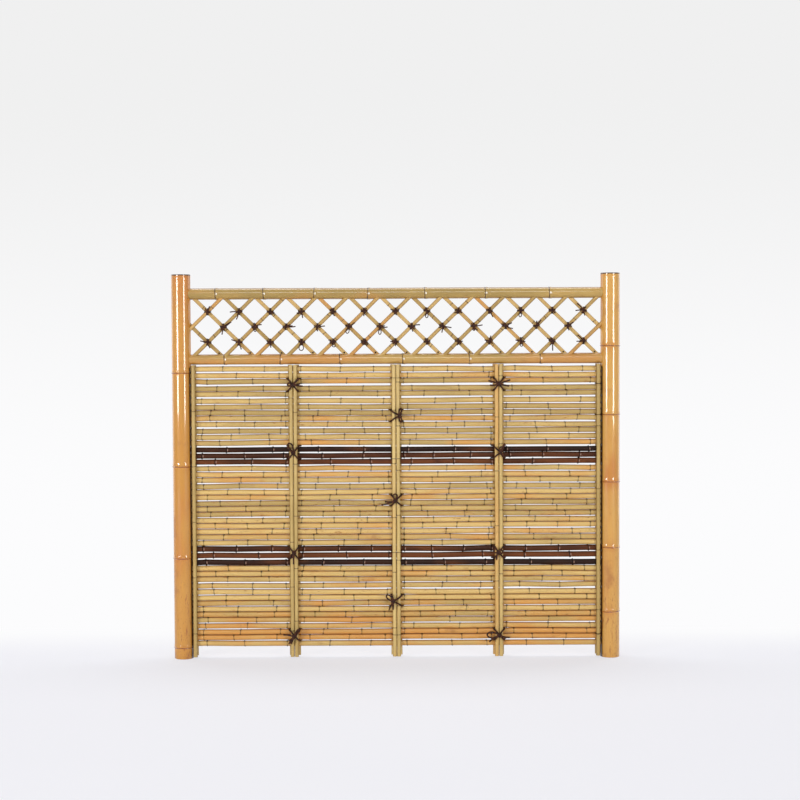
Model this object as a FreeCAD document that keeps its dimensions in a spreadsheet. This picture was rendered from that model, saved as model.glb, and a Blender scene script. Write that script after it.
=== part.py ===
import FreeCAD, Part
import math
import os

# Bamboo fence panel: two posts, two rails, a split-cane lattice band above
# and a screen of horizontal canes held between front and back battens.
# Millimetres, +Z up, +X to the right seen from the front, front towards -Y.
# The origin is on the ground, midway between the posts.

# Driving dimensions
SIZES = {
    # Posts: stout culms cut just above a node, open at the foot
    "post_spacing": 1670,
    "post_foot_diameter": 75,
    "post_top_diameter": 74,
    "post_head": 76,
    "post_bore_diameter": 52,
    "post_top_recess": 5,
    "post_top_lip": 4,
    "post_left_internode": 373,
    "post_right_internode": 273,
    "post_internode_ratio": 0.98,
    "post_lowest_node": 15,
    "post_diaphragm": 8,
    "post_ring_height": 1.8,
    "post_ring_half_width": 6,
    # Rails: slimmer culms, saddled against the posts
    "top_rail_left_diameter": 44,
    "top_rail_right_diameter": 42.5,
    "top_rail_first_node": 135,
    "top_rail_internode": 186,
    "middle_rail_left_diameter": 40,
    "middle_rail_right_diameter": 41.5,
    "middle_rail_first_node": 168,
    "middle_rail_internode": 218,
    "rail_internode_ratio": 1.06,
    "rail_ring_height": 1.3,
    "rail_ring_half_width": 4.5,
    # Screen of horizontal canes, from the ground up
    "screen_bottom": 45,
    "cane_diameter": 20.2,
    "lower_gap": 2.5,
    "band_gap": 5.3,
    "middle_gap": 2.3,
    "upper_gap": 3.9,
    "screen_to_rail": 5,
    "groove_depth": 6,
    # Battens that clamp the screen
    "batten_diameter": 17,
    "batten_foot_gap": 6,
    "batten_rail_gap": 1,
    "batten_bay": 400,
    "front_pair_spacing": 17.6,
    "back_pair_spacing": 29,
    "end_batten_inset": 10,
    # Lattice between the rails
    "lattice_opening": 212,
    "lattice_row_rise": 59.5,
    "lattice_post_gap": 6.5,
    "lattice_forward": 7,
    "strip_width": 15,
    "strip_tip": 3,
    # Twine
    "tie_width": 4,
    "tie_thickness": 2.2,
    # Clearances
    "seat_clearance": 0.3,
}

# Counts
POST_SIDES = 24
RAIL_SIDES = 16
CANE_SIDES = 12
LOWER_CANES = 14
BAND_CANES = 3
MIDDLE_CANES = 14
UPPER_CANES = 13
LATTICE_COLUMNS = 13
OUTER_TIE_GAPS = (3, 14, 31, 45)
MIDDLE_TIE_GAPS = (8, 22, 39)

doc = FreeCAD.newDocument("BambooFencePanel")
dims = doc.addObject("Spreadsheet::Sheet", "dims")
for row, (alias, value) in enumerate(SIZES.items(), start=1):
    dims.set(f"A{row}", alias)
    dims.set(f"B{row}", str(value))
    dims.setAlias(f"B{row}", alias)
doc.recompute()

X_AXIS = FreeCAD.Vector(1, 0, 0)
Y_AXIS = FreeCAD.Vector(0, 1, 0)
Z_AXIS = FreeCAD.Vector(0, 0, 1)
# Turns that leave a pole along +Z or lay it along +X, both with its first corner at the back
UPRIGHT = FreeCAD.Rotation(Z_AXIS, 90)
LEVEL = FreeCAD.Rotation(Y_AXIS, Z_AXIS, X_AXIS, "ZXY")
sub_parts = []


def size(alias):
    """The number in the sheet's cell of that name."""
    return float(dims.get(alias))


def evaluate(expression):
    """The number that a sheet expression stands for."""
    return float(dims.evalExpression(expression))


def add(kind, name, expressions, turn=None):
    """A document object whose properties follow sheet expressions, after an optional turn."""
    obj = doc.addObject(kind, name)
    if turn is not None:
        obj.Placement = FreeCAD.Placement(FreeCAD.Vector(), turn)
    for prop, expression in expressions.items():
        obj.setExpression(prop, expression)
    return obj


def sub_part(obj, name):
    """Names a finished piece and puts it on the list of pieces to write."""
    obj.Label = name
    sub_parts.append(obj)
    return obj


def cut(name, base, tool):
    """The base with the tool taken away."""
    obj = doc.addObject("Part::Cut", name)
    obj.Base = base
    obj.Tool = tool
    return obj


def fuse(name, shapes):
    """Several solids made one."""
    obj = doc.addObject("Part::MultiFuse", name)
    obj.Shapes = shapes
    return obj


# Heights stack up from the ground, so a thicker cane lifts what is above it
LOWER_PITCH = "(dims.cane_diameter + dims.lower_gap)"
BAND_PITCH = "(dims.cane_diameter + dims.band_gap)"
MIDDLE_PITCH = "(dims.cane_diameter + dims.middle_gap)"
UPPER_PITCH = "(dims.cane_diameter + dims.upper_gap)"
CANE_FIELDS = (
    ("lower_light_canes", LOWER_CANES, LOWER_PITCH),
    ("lower_dark_canes", BAND_CANES, BAND_PITCH),
    ("middle_light_canes", MIDDLE_CANES, MIDDLE_PITCH),
    ("upper_dark_canes", BAND_CANES, BAND_PITCH),
    ("upper_light_canes", UPPER_CANES, UPPER_PITCH),
)
field_bottoms = ["dims.screen_bottom"]
for field_name, count, pitch in CANE_FIELDS:
    field_bottoms.append(f"{field_bottoms[-1]} + {count} * {pitch}")
SCREEN_TOP = f"({field_bottoms[-1]})"

TOP_RAIL_RADIUS = "max(dims.top_rail_left_diameter; dims.top_rail_right_diameter) / 2"
MIDDLE_RAIL_RADIUS = "max(dims.middle_rail_left_diameter; dims.middle_rail_right_diameter) / 2"
MIDDLE_RAIL_FOOT = f"({SCREEN_TOP} + dims.screen_to_rail)"
MIDDLE_RAIL_Z = f"({MIDDLE_RAIL_FOOT} + {MIDDLE_RAIL_RADIUS})"
LATTICE_FOOT_Z = f"({MIDDLE_RAIL_Z} + {MIDDLE_RAIL_RADIUS})"
LATTICE_Z = f"({LATTICE_FOOT_Z} + dims.lattice_opening / 2)"
TOP_RAIL_Z = f"({LATTICE_FOOT_Z} + dims.lattice_opening + {TOP_RAIL_RADIUS})"
POST_HEIGHT = f"({TOP_RAIL_Z} + dims.post_head)"
POST_X = "dims.post_spacing / 2"


def taper_radius(start, end, place, length):
    """Radius of a straight taper between two end diameters, at a place along a pole."""
    return f"({start} + ({end} - {start}) * {place} / {length}) / 2"


def post_face(height):
    """How far from the middle the posts' inner sides are at a height."""
    radius = taper_radius("dims.post_foot_diameter", "dims.post_top_diameter", height, POST_HEIGHT)
    return f"({POST_X} - {radius})"


SCREEN_FACE = post_face(SCREEN_TOP)
LATTICE_FACE = post_face(LATTICE_Z)


def node_places(first, step, ratio, stop):
    """Places of a culm's nodes: each internode is the last one times the ratio, up to the stop."""
    places = []
    terms = ["0"]
    while evaluate(f"{first} + {step} * ({' + '.join(terms)})") < evaluate(stop):
        places.append(f"({first} + {step} * ({' + '.join(terms)}))")
        terms.append(f"{ratio} ^ {len(terms) - 1}")
    return places


def prism(name, sides, diameter, expressions, turn=None):
    """A straight many-sided bar along +Z, before its turn."""
    bar = add("Part::Prism", name, {"Circumradius": f"{diameter} / 2", **expressions}, turn)
    bar.Polygon = sides
    return bar


class Culm:
    """A bamboo pole along +Z: its length, its two end diameters and its nodes, as expressions."""

    def __init__(self, sides, length, start, end, places, ring_height, ring_half_width):
        self.sides = sides
        self.length = length
        self.start = start
        self.end = end
        self.places = places
        self.ring_height = ring_height
        self.ring_half_width = ring_half_width

    def radius(self, place):
        """Radius of the straight taper at a place along the pole."""
        return taper_radius(self.start, self.end, place, self.length)

    def pole(self, name):
        """The many-sided pole itself, with a raised ring at each node."""
        stations = [("0", self.radius("0"))]
        for place in self.places:
            near = f"({place} - {self.ring_half_width})"
            far = f"({place} + {self.ring_half_width})"
            stations.append((near, self.radius(near)))
            stations.append((place, f"{self.radius(place)} + {self.ring_height}"))
            stations.append((far, self.radius(far)))
        stations.append((self.length, self.radius(self.length)))
        sections = []
        for number, (place, radius) in enumerate(stations, start=1):
            section = add("Part::RegularPolygon", f"{name}_section_{number}", {
                "Circumradius": radius,
                "Placement.Base.z": place,
            })
            section.Polygon = self.sides
            sections.append(section)
        loft = doc.addObject("Part::Loft", name)
        loft.Sections = sections
        loft.Solid = True
        loft.Ruled = True
        return loft

    def room(self, name):
        """The round space that the pole and its rings need, with the seat clearance all round."""
        bounds = ["0"] + self.places + [self.length]
        rounds = [
            (low, f"{high} - {low}", f"{self.radius(f'({low} + {high}) / 2')} + dims.seat_clearance")
            for low, high in zip(bounds, bounds[1:])
        ]
        rounds += [
            (
                f"{place} - {self.ring_half_width}",
                f"2 * {self.ring_half_width}",
                f"{self.radius(place)} + {self.ring_height} + dims.seat_clearance",
            )
            for place in self.places
        ]
        return fuse(name, [
            add("Part::Cylinder", f"{name}_{number}", {
                "Radius": radius,
                "Height": height,
                "Placement.Base.z": low,
            })
            for number, (low, height, radius) in enumerate(rounds, start=1)
        ])


# Posts
def post(side, sign, internode):
    """A post with its hollow foot, its dished top and the groove that takes the cane ends."""
    drops = node_places(
        "dims.post_ring_half_width + dims.post_top_lip", internode, "dims.post_internode_ratio",
        f"{POST_HEIGHT} - dims.post_ring_half_width - dims.post_lowest_node",
    )
    places = [f"({POST_HEIGHT} - {drop})" for drop in reversed(drops)]
    culm = Culm(
        POST_SIDES, POST_HEIGHT, "dims.post_foot_diameter", "dims.post_top_diameter",
        places, "dims.post_ring_height", "dims.post_ring_half_width",
    )
    outside = culm.pole(f"post_{side}_outside")
    room = culm.room(f"post_{side}_room")
    for upright in (outside, room):
        upright.Placement.Rotation = UPRIGHT
        upright.setExpression("Placement.Base.x", f"{sign} * {POST_X}")
    bore = add("Part::Cylinder", f"post_{side}_bore", {
        "Radius": "dims.post_bore_diameter / 2",
        "Height": f"{places[0]} - dims.post_diaphragm / 2",
        "Placement.Base.x": f"{sign} * {POST_X}",
    })
    recess = add("Part::Cylinder", f"post_{side}_recess", {
        "Radius": "dims.post_bore_diameter / 2",
        "Height": "dims.post_top_recess",
        "Placement.Base.x": f"{sign} * {POST_X}",
        "Placement.Base.z": f"{POST_HEIGHT} - dims.post_top_recess",
    })
    groove = add("Part::Box", f"post_{side}_groove", {
        "Length": "2 * dims.groove_depth",
        "Width": "dims.cane_diameter + 2 * dims.seat_clearance",
        "Height": f"{SCREEN_TOP} - dims.screen_bottom",
        "Placement.Base.x": f"{sign} * {SCREEN_FACE} - dims.groove_depth",
        "Placement.Base.y": "-dims.cane_diameter / 2 - dims.seat_clearance",
        "Placement.Base.z": "dims.screen_bottom",
    })
    hollows = fuse(f"post_{side}_hollows", [bore, recess, groove])
    sub_part(cut(f"post_{side}", outside, hollows), f"post_{side}")
    return culm, room


post_culm, left_room = post("left", -1, "dims.post_left_internode")
post_culm, right_room = post("right", 1, "dims.post_right_internode")
both_posts_room = fuse("both_posts_room", [left_room, right_room])


# Rails
def rail(name, height):
    """A rail from post to post along +X, its ends saddled round the posts."""
    places = node_places(
        f"dims.{name}_first_node", f"dims.{name}_internode", "dims.rail_internode_ratio",
        "dims.post_spacing - dims.post_foot_diameter",
    )
    culm = Culm(
        RAIL_SIDES, "dims.post_spacing", f"dims.{name}_left_diameter", f"dims.{name}_right_diameter",
        places, "dims.rail_ring_height", "dims.rail_ring_half_width",
    )
    blank = culm.pole(f"{name}_blank")
    room = culm.room(f"{name}_room")
    for level in (blank, room):
        level.Placement.Rotation = LEVEL
        level.setExpression("Placement.Base.x", f"-{POST_X}")
        level.setExpression("Placement.Base.z", height)
    sub_part(cut(name, blank, both_posts_room), name)
    return culm, room


top_culm, top_room = rail("top_rail", TOP_RAIL_Z)
middle_culm, middle_room = rail("middle_rail", MIDDLE_RAIL_Z)


# Horizontal canes
CANE_LENGTH = f"(2 * ({SCREEN_FACE} + dims.groove_depth - dims.seat_clearance))"


def cane(name, height):
    """One cane along X, with its ends in the grooves of the posts."""
    return prism(name, CANE_SIDES, "dims.cane_diameter", {
        "Height": CANE_LENGTH,
        "Placement.Base.x": f"-{CANE_LENGTH} / 2",
        "Placement.Base.z": height,
    }, LEVEL)


for (field_name, count, pitch), bottom in zip(CANE_FIELDS, field_bottoms):
    canes = []
    for index in range(count):
        height = f"{bottom} + ({index} + 0.5) * {pitch}"
        canes.append(cane(f"{field_name}_{index + 1}", height))
    group = doc.addObject("Part::Compound", field_name)
    group.Links = canes
    sub_part(group, field_name)


# Battens, which clamp the canes from both faces
BATTEN_Y = "(dims.cane_diameter / 2 + dims.seat_clearance + dims.batten_diameter / 2)"
END_BATTEN_X = f"({SCREEN_FACE} - dims.end_batten_inset)"


def batten_places(pair_spacing):
    """X places of one face's battens: one at each end and a pair at each of three stations."""
    places = [f"-{END_BATTEN_X}"]
    for station in (-1, 0, 1):
        for side in (-0.5, 0.5):
            places.append(f"{station} * dims.batten_bay + {side} * {pair_spacing}")
    places.append(END_BATTEN_X)
    return places


def batten(name, place, face):
    """One upright batten on the front (-1) or back (1) face of the screen."""
    sub_part(prism(name, CANE_SIDES, "dims.batten_diameter", {
        "Height": f"{MIDDLE_RAIL_FOOT} - dims.batten_rail_gap - dims.batten_foot_gap",
        "Placement.Base.x": place,
        "Placement.Base.y": f"{face} * {BATTEN_Y}",
        "Placement.Base.z": "dims.batten_foot_gap",
    }), name)


for face_name, face in (("front", -1), ("back", 1)):
    for number, place in enumerate(batten_places(f"dims.{face_name}_pair_spacing"), start=1):
        batten(f"{face_name}_batten_{number}", place, face)

# Lattice: canes split in half, in two layers with their flat faces together
lattice_pitch = evaluate(f"2 * ({LATTICE_FACE} - dims.lattice_post_gap) / {LATTICE_COLUMNS}")
lattice_z = evaluate(LATTICE_Z)
lattice_angle = math.atan2(size("lattice_row_rise"), lattice_pitch / 2)


def lattice_waste(name, back_of_box):
    """What a strip loses: the half of its cane beyond the split, and its ends in the frame."""
    half = add("Part::Box", f"{name}_half", {
        "Length": "dims.post_spacing + 2 * dims.strip_width",
        "Width": "dims.strip_width",
        "Height": f"{TOP_RAIL_Z} - {MIDDLE_RAIL_Z} + 2 * dims.strip_width",
        "Placement.Base.x": f"-{POST_X} - dims.strip_width",
        "Placement.Base.y": f"{back_of_box} - dims.lattice_forward",
        "Placement.Base.z": f"{MIDDLE_RAIL_Z} - dims.strip_width",
    })
    return fuse(name, [left_room, right_room, top_room, middle_room, half])


rising_waste = lattice_waste("rising_waste", "0")
falling_waste = lattice_waste("falling_waste", "-dims.strip_width")


def seat_distance(culm, place):
    """How far from a pole's axis a strip's middle line meets the pole's room, at a place along it."""
    radius = evaluate(culm.radius(place)) + size("seat_clearance")
    return math.sqrt(radius ** 2 - size("lattice_forward") ** 2)


def strip(name, centre_x, slope, waste):
    """A half-round strip through (centre_x, lattice_z) that rises (slope 1) or falls (slope -1).

    Each end is squared off just past its seat, so that the tip stays as thick as strip_tip.
    """
    cosine = math.cos(lattice_angle)
    sine = math.sin(lattice_angle)
    half_width = size("strip_width") / 2
    rise = evaluate(TOP_RAIL_Z) - lattice_z - seat_distance(top_culm, POST_X)
    drop = lattice_z - evaluate(MIDDLE_RAIL_Z) - seat_distance(middle_culm, POST_X)
    run = evaluate(POST_X) - seat_distance(post_culm, LATTICE_Z)
    past_rail = half_width * cosine - size("strip_tip")
    past_post = half_width * sine - size("strip_tip")
    to_left = (run + centre_x + past_post) / cosine
    to_right = (run - centre_x + past_post) / cosine
    to_top = (rise + past_rail) / sine
    to_bottom = (drop + past_rail) / sine
    back = min(to_left, to_bottom if slope > 0 else to_top)
    ahead = min(to_right, to_top if slope > 0 else to_bottom)
    along = FreeCAD.Vector(cosine, 0, slope * sine)
    blank = prism(f"{name}_blank", CANE_SIDES, "dims.strip_width", {})
    blank.Height = back + ahead
    centre = FreeCAD.Vector(centre_x, -size("lattice_forward"), lattice_z)
    turn = FreeCAD.Rotation(Y_AXIS.cross(along), Y_AXIS, along, "ZYX")
    blank.Placement = FreeCAD.Placement(centre - along * back, turn)
    sub_part(cut(name, blank, waste), name)


for index in range(LATTICE_COLUMNS + 1):
    centre_x = (index - LATTICE_COLUMNS / 2) * lattice_pitch
    strip(f"lattice_rising_strip_{index + 1}", centre_x, 1, rising_waste)
    strip(f"lattice_falling_strip_{index + 1}", centre_x, -1, falling_waste)


# Twine
def loop(outline, margin, width, direction):
    """A closed twine band: an outline of points, grown outwards by the margin, with a width."""
    inner = Part.makePolygon(outline + outline[:1])
    outer = inner.makeOffset2D(margin, 2)
    band = Part.Face(outer).extrude(direction * width).cut(Part.Face(inner).extrude(direction * width))
    band.translate(direction * (-width / 2))
    return band.Solids[0]


def lattice_tie():
    """A band round a crossing at the origin, in the upright plane, clear of both strips."""
    half_width = size("tie_width") / 2
    clearance = size("seat_clearance")
    depth = size("strip_width") / 2 + clearance
    top = size("strip_width") / 2 / math.cos(lattice_angle)
    top += half_width * math.tan(lattice_angle) + clearance
    shoulder = 0.84 * top
    outline = [
        FreeCAD.Vector(0, y, z)
        for y, z in (
            (-depth, -shoulder), (0, -top), (depth, -shoulder),
            (depth, shoulder), (0, top), (-depth, shoulder),
        )
    ]
    return loop(outline, size("tie_thickness"), size("tie_width"), X_AXIS)


def lattice_crossings():
    """Centres of the crossings: the middle row, then the rows above and below it."""
    forward = -size("lattice_forward")
    for index in range(1, LATTICE_COLUMNS):
        yield FreeCAD.Vector((index - LATTICE_COLUMNS / 2) * lattice_pitch, forward, lattice_z)
    for rise in (-1, 1):
        for index in range(LATTICE_COLUMNS):
            x = (index - (LATTICE_COLUMNS - 1) / 2) * lattice_pitch
            yield FreeCAD.Vector(x, forward, lattice_z + rise * size("lattice_row_rise"))


crossing_band = lattice_tie()
lattice_ties = doc.addObject("Part::Feature", "lattice_ties")
lattice_ties.Shape = Part.makeCompound([crossing_band.translated(c) for c in lattice_crossings()])
sub_part(lattice_ties, "lattice_ties")


def gap_height(gap):
    """Height of the gap under a number of canes counted from the top."""
    height = evaluate(SCREEN_TOP)
    for field_name, count, pitch in reversed(CANE_FIELDS):
        height -= min(gap, count) * evaluate(pitch)
        gap -= min(gap, count)
    return height


def batten_tie(station, gap):
    """A flat twine band round a front pair and a back pair, through one gap between canes."""
    clearance = size("seat_clearance")
    radius = size("batten_diameter") / 2
    depth = evaluate(BATTEN_Y) + radius + clearance
    front = size("front_pair_spacing") / 2 + radius + clearance
    back = size("back_pair_spacing") / 2 + radius + clearance
    narrowest = min(size(f"{field}_gap") for field in ("lower", "middle", "upper", "band"))
    x = station * size("batten_bay")
    z = gap_height(gap)
    outline = [
        FreeCAD.Vector(x - front, -depth, z),
        FreeCAD.Vector(x + front, -depth, z),
        FreeCAD.Vector(x + back, 0, z),
        FreeCAD.Vector(x + back, depth, z),
        FreeCAD.Vector(x - back, depth, z),
        FreeCAD.Vector(x - back, 0, z),
    ]
    return loop(outline, size("tie_thickness"), narrowest - 2 * clearance, Z_AXIS)


batten_bands = []
for station, gaps in ((-1, OUTER_TIE_GAPS), (0, MIDDLE_TIE_GAPS), (1, OUTER_TIE_GAPS)):
    batten_bands += [batten_tie(station, gap) for gap in gaps]
batten_ties = doc.addObject("Part::Feature", "batten_ties")
batten_ties.Shape = Part.makeCompound(batten_bands)
sub_part(batten_ties, "batten_ties")

# Check every object, then write each sub-part
doc.recompute()
for obj in doc.Objects:
    if "Invalid" in obj.State or "Error" in obj.State:
        raise RuntimeError(f"{obj.Name} did not build: {obj.State}")
for obj in sub_parts:
    if obj.Shape.isNull() or not obj.Shape.isValid() or not obj.Shape.Solids:
        raise RuntimeError(f"{obj.Label} has no sound solid")
os.makedirs("parts", exist_ok=True)
for obj in sub_parts:
    obj.Shape.exportStep(f"parts/{obj.Label}.step")
    print(obj.Label, len(obj.Shape.Solids), "solids", round(obj.Shape.Volume), "mm3")
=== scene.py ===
# %% [markdown]
# # A bamboo fence panel
# The panel has two stout posts, two rails, a lattice of split canes lashed at every crossing and
# a screen of thin canes clamped between upright battens. The solids already say where each piece
# is and how big it is. This lesson gives each piece its grown form and its finish: the rings and
# swellings of bamboo, the small bends of real canes, the twine with its bows and loose ends.

# %% Load the frame
import math

import bpy
import numpy as np
from mathutils import Matrix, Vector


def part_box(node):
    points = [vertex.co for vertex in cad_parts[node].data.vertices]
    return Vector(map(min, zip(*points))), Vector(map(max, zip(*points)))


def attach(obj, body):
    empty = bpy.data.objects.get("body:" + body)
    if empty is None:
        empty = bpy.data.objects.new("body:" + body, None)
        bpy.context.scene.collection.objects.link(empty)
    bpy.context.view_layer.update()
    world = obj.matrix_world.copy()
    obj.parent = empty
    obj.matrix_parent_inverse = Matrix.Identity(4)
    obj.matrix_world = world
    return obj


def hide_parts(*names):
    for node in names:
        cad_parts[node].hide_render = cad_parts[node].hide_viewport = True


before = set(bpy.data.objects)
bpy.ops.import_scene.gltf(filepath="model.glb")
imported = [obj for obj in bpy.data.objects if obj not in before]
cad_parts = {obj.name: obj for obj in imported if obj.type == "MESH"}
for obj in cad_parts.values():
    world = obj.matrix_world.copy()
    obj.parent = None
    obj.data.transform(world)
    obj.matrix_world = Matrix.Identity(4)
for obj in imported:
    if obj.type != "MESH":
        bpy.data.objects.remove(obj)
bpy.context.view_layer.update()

MM = 0.001
rng = np.random.default_rng(20)

# %% [markdown]
# ## The camera
# The panel is seen almost square on, from about six metres, with the lens a little above the
# lattice's foot. The lens follows from how wide the posts stand in an 800 pixel picture. Setting
# the camera first means that every later step can be compared with the photograph at once.

# %% Camera
CAMERA_PLACE = (0.016, -6.0, 1.25)
CAMERA_PITCH = math.radians(2.3)
CAMERA_ROLL = math.radians(0.25)
FOCAL_PIXELS = 1539.0
PICTURE_PIXELS = 800.0
SENSOR = 36.0

camera_data = bpy.data.cameras.new("camera")
camera_data.sensor_width = SENSOR
camera_data.lens = FOCAL_PIXELS * SENSOR / PICTURE_PIXELS
camera = bpy.data.objects.new("camera", camera_data)
bpy.context.collection.objects.link(camera)
turn = Matrix.Rotation(math.pi / 2 - CAMERA_PITCH, 4, "X") @ Matrix.Rotation(-CAMERA_ROLL, 4, "Z")
camera.matrix_world = Matrix.Translation(CAMERA_PLACE) @ turn
bpy.context.scene.camera = camera
bpy.context.scene.view_settings.view_transform = "Standard"
print("lens of", round(camera_data.lens, 1), "mm")

# %% [markdown]
# ## From arrays to a mesh
# Every piece here is a tube of some kind: rings of points that follow each other along a line.
# They could be drawn as bevelled curves, but a culm changes its thickness at each node, so the
# rings are worked out as whole arrays instead. A ring has as many points as the tube has sides.
# The first and last rings are closed with one flat face each, so every mesh is watertight.

# %% Tubes into one mesh
def tube_faces(stations, sides, offset):
    """Quads between neighbouring rings, wrapping round, and one face to close each end."""
    ring = np.arange(stations - 1)[:, None] * sides
    side = np.arange(sides)[None, :]
    ahead = (side + 1) % sides
    quads = np.stack([ring + side, ring + ahead, ring + sides + ahead, ring + sides + side], -1)
    faces = (quads.reshape(-1, 4) + offset).tolist()
    first = np.arange(sides)[::-1] + offset
    last = np.arange(sides) + offset + (stations - 1) * sides
    return faces + [first.tolist(), last.tolist()]


def tube_values(tubes, key):
    """One value of all the tubes, as a row for each point."""
    return np.concatenate([
        np.reshape(tube["values"][key], (tube["points"].size // 3, -1)) for tube in tubes
    ]).astype(np.float32)


def piece_from_tubes(name, tubes, material, nodes, sharp=math.radians(40)):
    """One object from tubes: each has points (stations, sides, 3) and values for each point."""
    points = np.concatenate([tube["points"].reshape(-1, 3) for tube in tubes])
    faces = []
    offset = 0
    for tube in tubes:
        stations, sides = tube["points"].shape[:2]
        faces += tube_faces(stations, sides, offset)
        offset += stations * sides
    mesh = bpy.data.meshes.new(name)
    mesh.from_pydata(points.tolist(), [], faces)
    for key in tubes[0]["values"]:
        values = tube_values(tubes, key)
        if values.shape[1] == 3:
            mesh.attributes.new(key, "FLOAT_VECTOR", "POINT").data.foreach_set("vector", values.ravel())
        else:
            mesh.attributes.new(key, "FLOAT", "POINT").data.foreach_set("value", values.ravel())
    mesh.polygons.foreach_set("use_smooth", np.ones(len(mesh.polygons), dtype=bool))
    mesh.set_sharp_from_angle(angle=sharp)
    mesh.materials.append(material)
    piece = bpy.data.objects.new(name, mesh)
    bpy.context.collection.objects.link(piece)
    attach(piece, "root")
    if nodes:
        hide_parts(*nodes)
    mesh.calc_loop_triangles()
    print(f"{name}: {len(mesh.loop_triangles)} triangles")


# %% [markdown]
# ## How bamboo grows
# A culm is a hollow tube with a wall across it at each node. Outside, a node shows as two ridges:
# a sharp one where the leaf sheath sat, and a soft swelling just above it. Between nodes the tube
# is nearly straight, and it often turns by a hair at each node. All of that is a function of the
# distance along the culm, so one function serves rails, canes and battens.

# %% Culm formulas
FAR_FROM_NODES = 1.0
ALONG_X = (1, 0, 0)
UPWARDS = (0, 0, 1)
BACKWARDS = (0, 1, 0)


def node_places(first, step, ratio, stop):
    """Distances of the nodes: each internode is the last one times the ratio, up to the stop."""
    places = []
    place = first
    while place < stop:
        places.append(place)
        place += step
        step *= ratio
    return np.array(places)


def stations_along(length, nodes, near, spacing):
    """Ring places from 0 to the length: evenly spaced ones, and closer ones around each node."""
    even = np.linspace(0, length, max(2, int(length / spacing) + 1))
    close = np.array(near) * MM
    even = even[np.abs(even[:, None] - nodes[None, :]).min(1) > np.abs(close).max()]
    places = np.concatenate([even, (nodes[:, None] + close[None, :]).ravel(), [0, length]])
    return np.unique(np.round(places[(places >= 0) & (places <= length)], 6))


def node_gap(places, nodes, lean, lift):
    """Signed distance of each point to its nearest node, whose ring leans by a slope times the lift."""
    nearest = np.abs(places[:, None] - nodes[None, :]).argmin(1)
    return (places - nodes[nearest])[:, None] - lean[nearest][:, None] * lift


def node_relief(gap, ridge, ridge_width, swell, swell_width):
    """Height of a node over the tube: a sharp bell at the scar, a pinch and a wide bell above it."""
    scar = ridge * np.exp(-(gap / ridge_width) ** 2)
    pinch = 0.5 * ridge * np.exp(-((gap - 2.4 * ridge_width) / ridge_width) ** 2)
    above = swell * np.exp(-((gap - 1.3 * swell_width) / swell_width) ** 2)
    return scar - pinch + above


def ring_values(gap):
    """What paints a node: the distance to it in mm, and the same only above it."""
    return {"node": np.abs(gap) / MM, "above": np.where(gap > 0, gap, FAR_FROM_NODES) / MM}


def culm(start, axis, up, length, radii, nodes, habit, looks, bends=None, hollow=None):
    """A tube along a line: point = start + axis * place + bend + radius * (cos, sin) round the axis.

    The radius runs evenly from the first of the radii to the second, plus the nodes' relief, and an
    oval culm is that much wider upwards. A hollow culm goes on over its sawn edge and down its
    bore, where a small floor closes it.
    """
    places = stations_along(length, nodes, habit["near"], habit["spacing"])
    radius = radii[0] + (radii[1] - radii[0]) * places / length
    skin = np.ones(len(places))
    if hollow:
        wall, depth = hollow
        bore_foot = np.array([0.1, 1, 1]) * (radii[0] - wall)
        bore_head = np.array([1, 1, 0.1]) * (radii[1] - wall)
        radius = np.concatenate([bore_foot, radius, bore_head])
        places = np.concatenate([[depth, depth, 0], places, [length, length - depth, length - depth]])
        skin = np.concatenate([np.zeros(3), skin, np.zeros(3)])
    axis, up = np.array(axis, float), np.array(up, float)
    across = np.cross(up, axis)
    angle = np.linspace(0, 2 * math.pi, habit["sides"], endpoint=False)
    rim = np.cos(angle)[:, None] * across + looks.get("oval", 1.0) * np.sin(angle)[:, None] * up
    gap = node_gap(places, nodes, looks["lean"], radius[:, None] * np.sin(angle)[None, :])
    gap = np.where(skin[:, None] > 0, gap, FAR_FROM_NODES)
    spread = radius[:, None] + node_relief(gap, *habit["ridge"])
    centre = np.array(start, float) + places[:, None] * axis
    if bends:
        knots, sideways, upwards = bends
        centre = centre + np.interp(places, knots, sideways)[:, None] * across
        centre = centre + np.interp(places, knots, upwards)[:, None] * up
    points = centre[:, None, :] + spread[:, :, None] * rim[None, :, :]
    along = np.broadcast_to(places[:, None], spread.shape)
    values = {
        "grain": np.stack([spread * np.cos(angle), spread * np.sin(angle), along + looks["seed"]], -1),
        **ring_values(gap),
        "edge": np.broadcast_to(np.sqrt(1 - np.clip(rim[:, 1] ** 2, 0, 1)), spread.shape),
        "cut": np.broadcast_to(1 - skin[:, None], spread.shape),
    }
    for key in ("tone", "warm", "wear"):
        values[key] = np.broadcast_to(np.reshape(looks[key], (-1, 1)), spread.shape)
    return {"points": points, "values": values}


# %% [markdown]
# ## Bamboo finishes
# Bamboo skin is smooth and waxy, with fine fibres that run along the culm and slow changes of
# colour from straw to olive and orange. A picture could be wrapped round each cane, but then all
# canes would look alike. Here noise is stretched along the grain that each tube carries with it,
# each cane starts at its own place in that noise, and the node's distance paints the dark ring.

# %% Shader helpers
def colour(red, green, blue):
    """A colour as seen, 0 to 255, turned into the linear light that shaders use."""
    seen = np.array([red, green, blue]) / 255.0
    linear = np.where(seen <= 0.04045, seen / 12.92, ((seen + 0.055) / 1.055) ** 2.4)
    return (*linear.tolist(), 1.0)


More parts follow.
